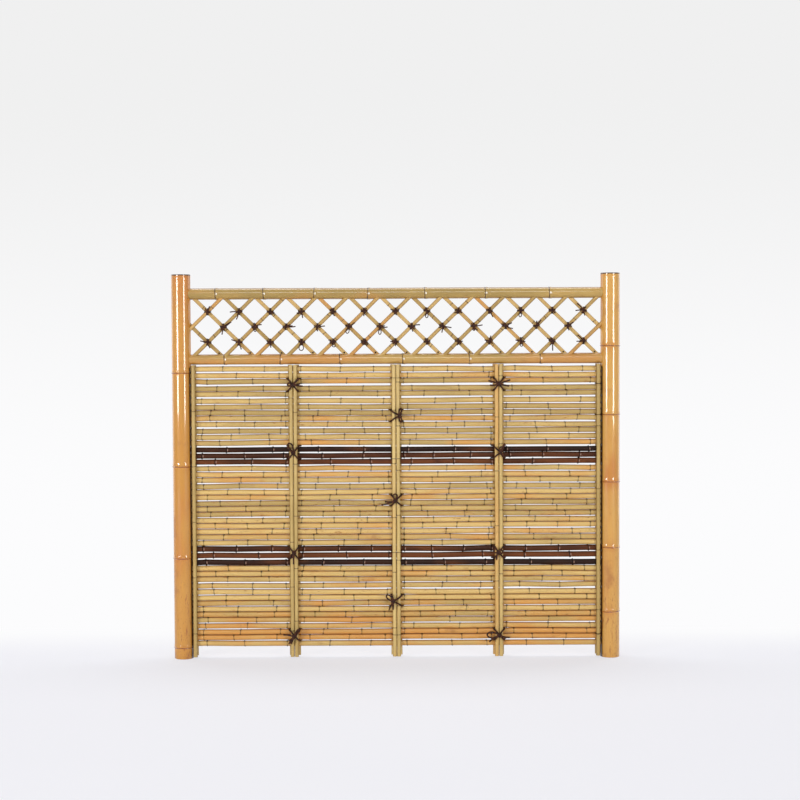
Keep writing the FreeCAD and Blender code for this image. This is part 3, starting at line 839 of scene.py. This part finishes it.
tie_low, tie_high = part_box("lattice_ties")
lattice_y = (tie_low.y + tie_high.y) / 2
lattice_z = (tie_low.z + tie_high.z) / 2
pitch_x = (tie_high.x - tie_low.x - TIE_WIDTH) / (COLUMNS - 1)
slope_angle = math.atan2(ROW_RISE, pitch_x / 2)
rail_z = {name: sum(corner.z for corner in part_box(f"{name}_rail")) / 2 for name in ("top", "middle")}
RAIL_SEAT = {"top": 21.9 * MM, "middle": 20.7 * MM}
print("lattice pitch", round(pitch_x / MM, 2), "mm at", round(math.degrees(slope_angle), 1), "degrees")


# %% Make the strips
def strip_reach(slope, way, centre_x, q, y, along, across):
    """How far each line of a strip's section runs before it meets the rail or the post."""
    rail_name = "top" if slope * way > 0 else "middle"
    rise = np.sqrt(RAIL_SEAT[rail_name] ** 2 - y ** 2)
    target = rail_z[rail_name] - rise if rail_name == "top" else rail_z[rail_name] + rise
    to_rail = (target - lattice_z - q * across[2]) / (way * along[2])
    face = post_x["right" if way > 0 else "left"] - way * np.sqrt(POST_TOP_RADIUS ** 2 - y ** 2)
    to_post = (face - centre_x - q * across[0]) / (way * along[0])
    return np.minimum(to_rail, to_post)


def strip(number, slope):
    """A half-round bar: point = centre + along * reach + across * q + out * depth.

    The section goes over the arc and back along the chord. Returns the middle of its right end.
    """
    node = f"lattice_{'rising' if slope > 0 else 'falling'}_strip_{number}"
    out = -1.0 if slope > 0 else 1.0
    centre_x = (number - 1 - COLUMNS / 2) * pitch_x
    along = np.array([math.cos(slope_angle), 0, slope * math.sin(slope_angle)])
    across = np.array([-along[2], 0, along[0]])
    arc = np.linspace(-math.pi / 2, math.pi / 2, 13)
    chord = np.linspace(1, -1, 7)[1:-1]
    thick = STRIP_RADIUS * rng.uniform(0.96, 1.0)
    q = np.concatenate([thick * np.sin(arc), thick * chord])
    depth = np.concatenate([thick * np.cos(arc), np.full(len(chord), HALF_GAP)])
    y = lattice_y + out * depth
    back = strip_reach(slope, -1, centre_x, q, y, along, across)
    ahead = strip_reach(slope, 1, centre_x, q, y, along, across)
    start, end = -np.median(back), np.median(ahead)
    length = end - start
    nodes = node_places(rng.uniform(0.03, 0.14), rng.uniform(0.1, 0.16), 1.0, length)
    places = stations_along(length, nodes, STRIP_NEAR, STRIP_SPACING)
    gap = node_gap(places, nodes, rng.uniform(-STRIP_LEAN, STRIP_LEAN, len(nodes)), q[None, :])
    swell = 1 + node_relief(gap, *STRIP_RIDGE) * (depth > ARC_DEPTH)
    fade_back = np.clip(1 - places / END_REACH, 0, 1)[:, None]
    fade_ahead = np.clip(1 - (length - places) / END_REACH, 0, 1)[:, None]
    reach = (start + places)[:, None] + fade_back * (-back - start) + fade_ahead * (ahead - end)
    bow = rng.uniform(-1, 1) * MM * np.sin(math.pi * places / length)
    crossings = np.array([-1, 0, 1]) * ROW_RISE / math.sin(slope_angle)
    clear = np.abs((start + places)[:, None] - crossings).min(1)
    crown = STRIP_CROWN * np.clip(clear / HOUSING - 1, 0, 1)
    on_chord = np.arange(len(q)) >= len(arc)
    depth = depth - crown[:, None] * on_chord * (1 - (q / thick) ** 2)
    outward = np.array([0, out, 0])
    points = (
        np.array([centre_x, lattice_y, lattice_z]) + reach[..., None] * along
        + (q * swell + bow[:, None])[..., None] * across + (depth * swell)[..., None] * outward
    )
    shape = reach.shape
    values = {
        "grain": np.stack([
            np.broadcast_to(q, shape), np.broadcast_to(depth, shape), reach + STRIP_GRAIN * number * out,
        ], -1),
        **ring_values(gap),
        "edge": np.broadcast_to(np.abs(q) / thick, shape),
        "tone": np.full(shape, rng.uniform(0, 0.9)),
        "warm": np.full(shape, rng.choice([-0.1, 0.15, 0.5])),
        "wear": np.full(shape, rng.uniform(0.1, 0.7)),
    }
    if slope > 0:
        points = points[:, ::-1]
        values = {key: value[:, ::-1] for key, value in values.items()}
    tube = {"points": points, "values": values}
    piece_from_tubes(f"split_{node}", [tube], lattice_skin, [node])
    return np.array([centre_x, lattice_y, lattice_z]) + end * along


strip_tips = []
for number in range(1, COLUMNS + 2):
    strip(number, 1)
    strip_tips.append(strip(number, -1))

# %% [markdown]
# ## Pegs
# Each falling strip is held to the middle rail by one dark peg through its tip. A peg's head is a
# small dome: its radius and its height follow a quarter of a circle from the rim to the crown.

# %% Make the pegs
PEG_RADIUS = 3.5 * MM
PEG_HEIGHT = 1.8 * MM
PEG_FROM_TIP = 7 * MM
DOME_SHAPE = (7, 12)
DOME_ANGLE = 1.45


def dome(centre, radius, height, seed):
    """A low dome that faces the front: radius * cos(a) across and height * sin(a) outwards."""
    rise = np.linspace(0, DOME_ANGLE, DOME_SHAPE[0])
    angle = np.linspace(0, 2 * math.pi, DOME_SHAPE[1], endpoint=False)
    reach = radius * np.cos(rise)[:, None]
    points = np.stack([
        centre[0] + reach * np.cos(angle),
        np.broadcast_to(centre[1] - height * np.sin(rise)[:, None], DOME_SHAPE),
        centre[2] + reach * np.sin(angle),
    ], -1)
    flat = np.zeros(DOME_SHAPE)
    values = {
        **ring_values(flat + FAR_FROM_NODES), "grain": (points - centre) + np.array([0, 0, seed]),
        "edge": flat, "tone": flat + 0.8, "warm": flat, "wear": flat + 0.5,
    }
    return {"points": points, "values": values}


to_tip = np.array([math.cos(slope_angle), 0, -math.sin(slope_angle)]) * PEG_FROM_TIP
crowned = np.array([0, -STRIP_CROWN, 0])
pegs = [
    dome(tip - to_tip + crowned, PEG_RADIUS, PEG_HEIGHT, index)
    for index, tip in enumerate(strip_tips[:COLUMNS])
]
piece_from_tubes("lattice_pegs", pegs, dark_skin, [])

# %% [markdown]
# ## Twine
# The lashings are dark palm twine. Each crossing has a few tight turns, a knot and two cut ends.
# On the battens the turns cross in front and end in a bow. Every bit of twine is a round profile
# carried along a path, and the path is a smooth curve through a few points.

# %% Twine paths
TWINE_SIDES = 7
TWINE_GRAIN = 5
# Rings along each kind of path
TURN_RINGS = 27
END_RINGS = 18
LOOP_RINGS = 40
STRAND_RINGS = 54
WIRE_RINGS = 49


def smooth_path(points, count):
    """A curve through the points: between two of them, a cubic that keeps the neighbours' slope."""
    knots = np.array(points, float)
    padded = np.concatenate([2 * knots[:1] - knots[1:2], knots, 2 * knots[-1:] - knots[-2:-1]])
    place = np.linspace(0, len(knots) - 1 - 1e-9, count)
    step = place.astype(int)
    t = (place - step)[:, None]
    a, b, c, d = (padded[step + k] for k in range(4))
    square = 2 * a - 5 * b + 4 * c - d
    cube = 3 * b - a - 3 * c + d
    return 0.5 * (2 * b + (c - a) * t + square * t ** 2 + cube * t ** 3)


def twine(path, radius, facing, tone):
    """A round cord along a path: its ring lies across the path, turned so that one side keeps facing."""
    ahead = np.gradient(path, axis=0)
    ahead /= np.linalg.norm(ahead, axis=1, keepdims=True)
    side = np.cross(ahead, np.array(facing, float))
    side /= np.linalg.norm(side, axis=1, keepdims=True)
    lift = np.cross(ahead, side)
    angle = np.linspace(0, 2 * math.pi, TWINE_SIDES, endpoint=False)
    rim = np.cos(angle)[None, :, None] * side[:, None, :] + np.sin(angle)[None, :, None] * lift[:, None, :]
    along = np.concatenate([[0], np.cumsum(np.linalg.norm(np.diff(path, axis=0), axis=1))])
    points = path[:, None, :] + radius * rim
    shape = points.shape[:2]
    wrap = np.stack([np.cos(angle), np.sin(angle)], -1) * radius
    run = np.broadcast_to(along[:, None, None] + TWINE_GRAIN * tone, (*shape, 1))
    values = {
        "grain": np.concatenate([np.broadcast_to(wrap, (*shape, 2)), run], -1),
        "turn": np.broadcast_to(along[:, None] / radius, shape),
    }
    return {"points": points, "values": values}


def around(angle, power):
    """Cosine and sine of an angle with their corners filled out, for a rounded rectangle."""
    return [np.sign(f(angle)) * np.abs(f(angle)) ** power for f in (np.cos, np.sin)]


# %% Twine finish
def twine_finish():
    """Dark palm fibre: strands as rings that lean along the cord, and brown hairs as noise."""
    cord = Finish("twine_fibre")
    grain = cord.attribute("grain", "Vector")
    hairs = cord.noise(grain, (900, 900, 260), 3.0, 0.65)
    strands = cord.math("SINE", cord.math("MULTIPLY_ADD", hairs, 4.0, cord.attribute("turn")))
    mixed = cord.math("MULTIPLY_ADD", strands, 0.18, hairs)
    base = cord.mix(cord.ramp(mixed, 0.3, 0.85), colour(36, 15, 8), colour(86, 44, 22))
    cord.put(base, cord.surface.inputs["Base Color"])
    cord.surface.inputs["Roughness"].default_value = 0.7
    cord.surface.inputs["Specular IOR Level"].default_value = 0.3
    cord.put(cord.bump(mixed, 0.7, 0.5 * MM), cord.surface.inputs["Normal"])
    return cord.material


twine_skin = twine_finish()

# %% Lash the lattice
LATTICE_TWINE = 1.8 * MM
# In mm: how far a loose end falls back towards the strips, and how long a stub is
LATTICE_DROOPS = (-3, 4)
STUB_REACH = (12, 17)
FRONT = np.array([0, -1.0, 0])


def in_panel(heading):
    """A direction in the panel's plane, and the one square to it."""
    cosine, sine = math.cos(heading), math.sin(heading)
    return np.array([cosine, 0, sine]), np.array([-sine, 0, cosine])


def loose_end(knot, heading, reach, radius, droop, tone):
    """A cut end of twine that leaves the knot in a direction and bends a little on its way."""
    way, side = in_panel(heading)
    bend = side * rng.uniform(-0.22, 0.22) * reach
    path = smooth_path([
        knot - way * 2.5 * radius,
        knot + FRONT * radius,
        knot + way * reach * 0.55 + bend * 0.2 - FRONT * droop * 0.3,
        knot + way * reach + bend - FRONT * droop,
    ], END_RINGS)
    return twine(path, radius, FRONT, tone)


def bow_loop(knot, heading, reach, half_width, radius, tone):
    """A loop of twine that leaves the knot, turns round and comes back to it."""
    way, side = in_panel(heading)
    wide = side * half_width
    path = smooth_path([
        knot - way * 2 * radius - wide * 0.2, knot + way * reach * 0.35 + wide * 0.7 + FRONT * radius,
        knot + way * reach * 0.78 + wide, knot + way * reach, knot + way * reach * 0.78 - wide,
        knot + way * reach * 0.35 - wide * 0.7 - FRONT * radius, knot - way * 2 * radius + wide * 0.2,
    ], LOOP_RINGS)
    return twine(path, radius, FRONT, tone)


def tails(knot, loops, ends, loop_radius, end_radius, droops, tone):
    """The loops and loose ends of one tie, with headings in degrees and sizes in mm."""
    tubes = []
    for heading, reach, half_width in loops:
        tubes.append(bow_loop(knot, math.radians(heading), reach * MM, half_width * MM, loop_radius, tone))
    for heading, reach in ends:
        droop = rng.uniform(*droops) * MM
        tubes.append(loose_end(knot, math.radians(heading), reach * MM, end_radius, droop, tone))
    return tubes


# Loops (heading in degrees, reach and half width in mm) and loose ends (heading, reach) of each tie
LATTICE_TIES = {
    1: (
        ((), ((75, 22),)), ((), ((175, 32), (268, 30))), ((), ((300, 15),)), ((), ((200, 20), (280, 24))),
        ((), ((120, 15), (290, 17))), ((), ((255, 17),)), ((), ((170, 20), (285, 18))),
        (((270, 25, 5),), ()), ((), ((215, 17),)), ((), ((297, 29),)),
        (((262, 26, 5),), ()), ((), ((330, 15),)),
        ((), ((125, 36), (180, 30), (285, 22))),
    ),
    0: (
        ((), ((22, 31), (40, 37), (262, 29))), (((280, 18, 4),), ((30, 29),)), ((), ((-3, 36), (20, 25))),
        ((), ((14, 29), (260, 15))), (((255, 27, 6),), ((25, 29),)),
        (((268, 29, 5),), ((-10, 29), (12, 20))),
        ((), ((20, 33), (280, 21))), ((), ((-8, 34), (262, 25))), (((270, 17, 4),), ((6, 34), (300, 20))),
        ((), ((27, 27), (330, 29))), ((), ((50, 29), (90, 20))), ((), ((32, 27), (280, 19))),
    ),
    -1: (
        ((), ((170, 27), (290, 25))), ((), ((160, 31), (292, 29))), ((), ((280, 19), (200, 15))),
        (((270, 33, 8.5),), ()), (((278, 21, 6),), ((150, 20),)), (((300, 14, 4),), ((240, 14),)),
        ((), ((180, 19), (275, 19))), ((), ((320, 14),)), ((), ((250, 15),)), ((), ((165, 21), (80, 22))),
        (((270, 21, 5),), ((180, 23),)), ((), ((268, 36), (150, 26))), ((), ((128, 34), (180, 28))),
    ),
}


def lattice_lashing(centre, loops, ends):
    """Two turns each way round a crossing, a knot with two stubs, and the loops and ends of this tie."""
    tone = rng.uniform(0, 1)
    deep = STRIP_RADIUS + LATTICE_TWINE
    half_spans = (STRIP_RADIUS / math.sin(slope_angle), STRIP_RADIUS / math.cos(slope_angle))
    tubes = []
    for heading, span in zip((0, math.pi / 2), half_spans):
        way, side = in_panel(heading + rng.uniform(-0.3, 0.3))
        for offset in (-1, 1):
            angle = np.linspace(0, 2 * math.pi, TURN_RINGS)
            flat, depth = around(angle, 0.7)
            middle = centre + side * offset * (LATTICE_TWINE + rng.uniform(-0.2, 0.8) * MM)
            path = middle + flat[:, None] * way * (span + LATTICE_TWINE)
            path = path + depth[:, None] * FRONT * (deep + rng.uniform(0, 1.5) * MM)
            tubes.append(twine(path, LATTICE_TWINE, side, tone))
    knot = centre + FRONT * (deep + 2.5 * MM) + np.array([rng.uniform(-2, 2), 0, rng.uniform(-3, 1)]) * MM
    tubes.append(bow_loop(knot, rng.uniform(0, 6), 8 * MM, 3.5 * MM, LATTICE_TWINE, tone))
    stubs = [(heading, rng.uniform(*STUB_REACH)) for heading in rng.uniform(0, 360, 2)]
    return tubes + tails(
        knot, loops, (*ends, *stubs), LATTICE_TWINE, 1.3 * LATTICE_TWINE, LATTICE_DROOPS, tone,
    )


lattice_tubes = []
for lattice_row, ties in LATTICE_TIES.items():
    for index, (loops, ends) in enumerate(ties):
        crossing_x = (index - (len(ties) - 1) / 2) * pitch_x
        crossing = np.array([crossing_x, lattice_y, lattice_z + lattice_row * ROW_RISE])
        lattice_tubes += lattice_lashing(crossing, loops, ends)
piece_from_tubes("lattice_lashings", lattice_tubes, twine_skin, ["lattice_ties"], math.pi)

# %% [markdown]
# ## Lashings on the battens
# A lashing starts behind the screen, comes out through one gap, crosses the two battens on the
# slant and goes back through the gap above or below. Two such strands make a cross, tied in a
# bow, and behind the screen they run straight across the back battens. The heights come from
# the settled stack, so the twine really passes between the canes.

# %% Lash the battens
BATTEN_TWINE = 3.3 * MM
PAIR_HALF = 17.4 * MM
BACK_PAIR_HALF = 23 * MM
BATTEN_FRONT = -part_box("front_batten_3")[0].y
EDGE_KNOT = 10 * MM
# In mm, as for the lattice
BATTEN_DROOPS = (0, 7)
# How a strand leaves its gap: inside the screen, beside the batten twice, and on its shoulder
STRAND_INSIDE = 3 * MM
STRAND_BESIDE = (14 * MM, 20.5 * MM)
STRAND_TUCK = 0.6 * MM
STRAND_SHOULDER = (1.5 * MM, 2.6 * MM)
STRAND_RISE = 0.3 * MM


def slanting_strand(x, z, knot_x, way, lift):
    """One strand of the cross: from the gap below on one side to the gap above on the other."""
    clear = PAIR_HALF + BATTEN_TWINE
    crown = BATTEN_FRONT + BATTEN_TWINE
    points = []
    for side in (-1, 1):
        far = side * (knot_x - x) < EDGE_KNOT
        rise = (z[way * side] - z[0]) * (1 if far else 0.25)
        half = [
            (x + side * (PAIR_HALF - STRAND_INSIDE), STRAND_INSIDE, z[0] + rise),
            (x + side * clear, -STRAND_BESIDE[0], z[0] + rise),
            (x + side * (clear - STRAND_TUCK), -STRAND_BESIDE[1], z[0] + rise * 0.9),
            (x + side * (PAIR_HALF - STRAND_SHOULDER[0]), -crown + STRAND_SHOULDER[1], z[0] + rise * 0.78),
            (x + side * PAIR_HALF * 0.52 + (knot_x - x) * 0.3, -crown - STRAND_RISE, z[0] + rise * 0.45),
        ]
        points += half if side < 0 else half[::-1]
    points.insert(5, (knot_x, -crown - 1.5 * MM - lift, z[0]))
    return smooth_path(points, STRAND_RINGS)


def back_strand(x, z):
    """One strand behind the screen: out of a gap, straight across the back pair and in again."""
    clear = BACK_PAIR_HALF + BATTEN_TWINE
    crown = BATTEN_FRONT + BATTEN_TWINE
    half = [
        (PAIR_HALF - STRAND_INSIDE, STRAND_INSIDE),
        (clear, STRAND_BESIDE[0]),
        (clear - STRAND_TUCK, STRAND_BESIDE[1]),
        (BACK_PAIR_HALF - STRAND_SHOULDER[0], crown - STRAND_SHOULDER[1]),
        (BACK_PAIR_HALF * 0.52, crown + STRAND_RISE),
    ]
    left = [(x - across, y, z) for across, y in half]
    right = [(x + across, y, z) for across, y in half[::-1]]
    return smooth_path(left + right, STRAND_RINGS)


def batten_lashing(station, gap, shift, loops, ends):
    """A cross of two strands, two more behind, a lump of a knot, and this tie's loops and loose ends."""
    x = station * batten_bay
    tone = rng.uniform(0, 1)
    z = {0: gap_height(gap, x), 1: gap_height(gap - 1, x), -1: gap_height(gap + 1, x)}
    knot_x = x + shift * MM
    tubes = [
        twine(slanting_strand(x, z, knot_x, way, lift), BATTEN_TWINE, (-way * 0.7, 0, 0.7), tone)
        for way, lift in ((-1, 0), (1, 2 * BATTEN_TWINE))
    ]
    tubes += [twine(back_strand(x, z[level]), BATTEN_TWINE, (0, 0, 1), tone) for level in (-1, 1)]
    knot = np.array([knot_x, -BATTEN_FRONT - 4.2 * BATTEN_TWINE, z[0]])
    for heading in rng.uniform(0, 6, 2):
        tubes.append(bow_loop(knot, heading, 8 * MM, 3.6 * MM, BATTEN_TWINE, tone))
    return tubes + tails(knot, loops, ends, 0.95 * BATTEN_TWINE, BATTEN_TWINE, BATTEN_DROOPS, tone)


batten_tubes = []
for tie in TIES:
    batten_tubes += batten_lashing(*tie)
piece_from_tubes("batten_lashings", batten_tubes, twine_skin, ["batten_ties"], math.pi)

# %% Wire the middle pair and the right-hand end
WIRE_RADIUS = 0.9 * MM
END_WIRE_RADIUS = 1.6 * MM


def wire_loop(x, z, front_half, back_half, radius, tone):
    """A closed turn round front and back battens: a rounded rectangle, wider at the back."""
    angle = np.linspace(0, 2 * math.pi, WIRE_RINGS)
    flat, depth = around(angle, 0.55)
    half = (front_half + back_half) / 2 + depth * (back_half - front_half) / 2
    path = np.stack([
        x + flat * (half + radius), depth * (BATTEN_FRONT + radius), np.full(len(angle), z),
    ], -1)
    return twine(path, radius, (0, 0, 1), tone)


BATTEN_HALF = 8.5 * MM
wires = [
    wire_loop(0, gap_height(gap, 0), PAIR_HALF, BACK_PAIR_HALF, WIRE_RADIUS, 0.1 * gap) for gap in WIRE_GAPS
]
wires += [
    wire_loop(
        end_batten_x, gap_height(gap, end_batten_x), BATTEN_HALF, BATTEN_HALF, END_WIRE_RADIUS, 0.1 * gap,
    )
    for gap in END_WIRE_GAPS
]
piece_from_tubes("batten_wires", wires, twine_skin, [], math.pi)

# %% [markdown]
# ## Studio
# The panel stands on a pale floor in front of a white wall. Two soft boxes stand far to the left
# and right of the camera, high enough that they only mirror in the upper half of the posts. Light
# from above and behind throws the soft shadow towards the viewer and draws the bright rims. Seen
# straight or in a mirror the wall is simply white: it needs no lamp of its own.

# %% Floor and wall
WALL_FADE = (-0.03, 0.6)
WALL_HEIGHT_FADE = (0.0, 3.2)
FLOOR_GLOW = 0.65


def sweep_finish():
    """Pale matt paper that keeps the shadow in front, and turns into a plain white wall behind."""
    paper = Finish("paper_sweep")
    place = paper.new("SeparateXYZ")
    where = paper.new("TexCoord").outputs["Object"]
    paper.put(where, place.inputs["Vector"])
    tint = paper.noise(where, (0.8, 0.8, 0.8), 2.0)
    paint = paper.mix(tint, colour(240, 240, 243), colour(245, 245, 248))
    paper.put(paint, paper.surface.inputs["Base Color"])
    paper.surface.inputs["Roughness"].default_value = 0.9
    paper.surface.inputs["Specular IOR Level"].default_value = 0.1
    glow = paper.new("Emission")
    height = paper.ramp(place.outputs["Z"], *WALL_HEIGHT_FADE)
    behind = paper.ramp(place.outputs["Y"], *WALL_FADE)
    white = paper.mix(height, colour(252, 252, 253), colour(240, 240, 240))
    paper.put(paper.mix(behind, colour(248, 248, 254), white), glow.inputs["Color"])
    path = paper.new("LightPath")
    seen = paper.math("MAXIMUM", path.outputs["Is Camera Ray"], path.outputs["Is Glossy Ray"])
    seen = paper.math("MAXIMUM", seen, path.outputs["Is Transmission Ray"])
    share = paper.math("MULTIPLY", seen, paper.ramp(place.outputs["Y"], *WALL_FADE, FLOOR_GLOW, 1.0))
    blend = paper.new("MixShader")
    paper.put(share, blend.inputs["Fac"])
    paper.put(paper.surface.outputs["BSDF"], blend.inputs[1])
    paper.put(glow.outputs["Emission"], blend.inputs[2])
    paper.put(blend.outputs["Shader"], paper.tree.nodes["Material Output"].inputs["Surface"])
    return paper.material


SWEEP_HALF_WIDTH = 14.0
SWEEP_FRONT = -9.0
SWEEP_BACK = 3.2
SWEEP_RADIUS = 2.2
SWEEP_HEIGHT = 9.0
bend = np.linspace(0, math.pi / 2, 17)
profile = np.concatenate([
    [[SWEEP_FRONT, 0.0]],
    np.stack([SWEEP_BACK + SWEEP_RADIUS * np.sin(bend), SWEEP_RADIUS * (1 - np.cos(bend))], -1),
    [[SWEEP_BACK + SWEEP_RADIUS, SWEEP_HEIGHT]],
])
sweep_points = [(x, y, z) for y, z in profile for x in (-SWEEP_HALF_WIDTH, SWEEP_HALF_WIDTH)]
sweep_faces = [(2 * k, 2 * k + 1, 2 * k + 3, 2 * k + 2) for k in range(len(profile) - 1)]
sweep_mesh = bpy.data.meshes.new("sweep")
sweep_mesh.from_pydata(sweep_points, [], sweep_faces)
sweep_mesh.polygons.foreach_set("use_smooth", np.ones(len(sweep_mesh.polygons), dtype=bool))
sweep_mesh.materials.append(sweep_finish())
sweep = bpy.data.objects.new("sweep", sweep_mesh)
bpy.context.collection.objects.link(sweep)


# %% Lights
def soft_box(name, place, target, width, height, power):
    """An area lamp that faces a target."""
    lamp = bpy.data.lights.new(name, "AREA")
    lamp.shape = "RECTANGLE"
    lamp.size = width
    lamp.size_y = height
    lamp.energy = power
    holder = bpy.data.objects.new(name, lamp)
    bpy.context.collection.objects.link(holder)
    away = np.array(place, float) - np.array(target, float)
    heading = math.atan2(away[0], -away[1])
    tilt = math.atan2(math.hypot(away[0], away[1]), away[2])
    holder.matrix_world = (Matrix.Translation(place) @ Matrix.Rotation(heading, 4, "Z")
                           @ Matrix.Rotation(tilt, 4, "X"))


PANEL_MIDDLE = (0, 0, 1.0)
soft_box("left_box", (-5.2, -5.3, 1.5), PANEL_MIDDLE, 1.8, 1.76, 222)
soft_box("right_box", (4.9, -6.1, 1.45), PANEL_MIDDLE, 1.8, 1.9, 186)
soft_box("front_box", (0, -6.8, 4.6), PANEL_MIDDLE, 3.4, 1.1, 100)
soft_box("left_rim", (-3.8, 2.2, 1.6), PANEL_MIDDLE, 1.6, 3.0, 20)
soft_box("right_rim", (3.8, 2.2, 1.6), PANEL_MIDDLE, 1.6, 3.0, 20)
soft_box("top_box", (0, 0.9, 4.6), (0, -0.2, 0), 4.5, 1.2, 100)

WORLD_LIGHT = 0.15
WORLD_SEEN = 0.88
world = bpy.data.worlds.new("studio")
bpy.context.scene.world = world
world.use_nodes = True
sky = world.node_tree
path = sky.nodes.new("ShaderNodeLightPath")
seen = path.outputs["Is Camera Ray"]
for ray in ("Is Glossy Ray", "Is Transmission Ray"):
    either = sky.nodes.new("ShaderNodeMath")
    either.operation = "MAXIMUM"
    sky.links.new(seen, either.inputs[0])
    sky.links.new(path.outputs[ray], either.inputs[1])
    seen = either.outputs["Value"]
strength = sky.nodes.new("ShaderNodeMapRange")
strength.inputs["To Min"].default_value = WORLD_LIGHT
strength.inputs["To Max"].default_value = WORLD_SEEN
sky.links.new(seen, strength.inputs["Value"])
sky.nodes["Background"].inputs["Color"].default_value = (1, 1, 1, 1)
sky.links.new(strength.outputs["Result"], sky.nodes["Background"].inputs["Strength"])
print("lamps:", len(bpy.data.lights))
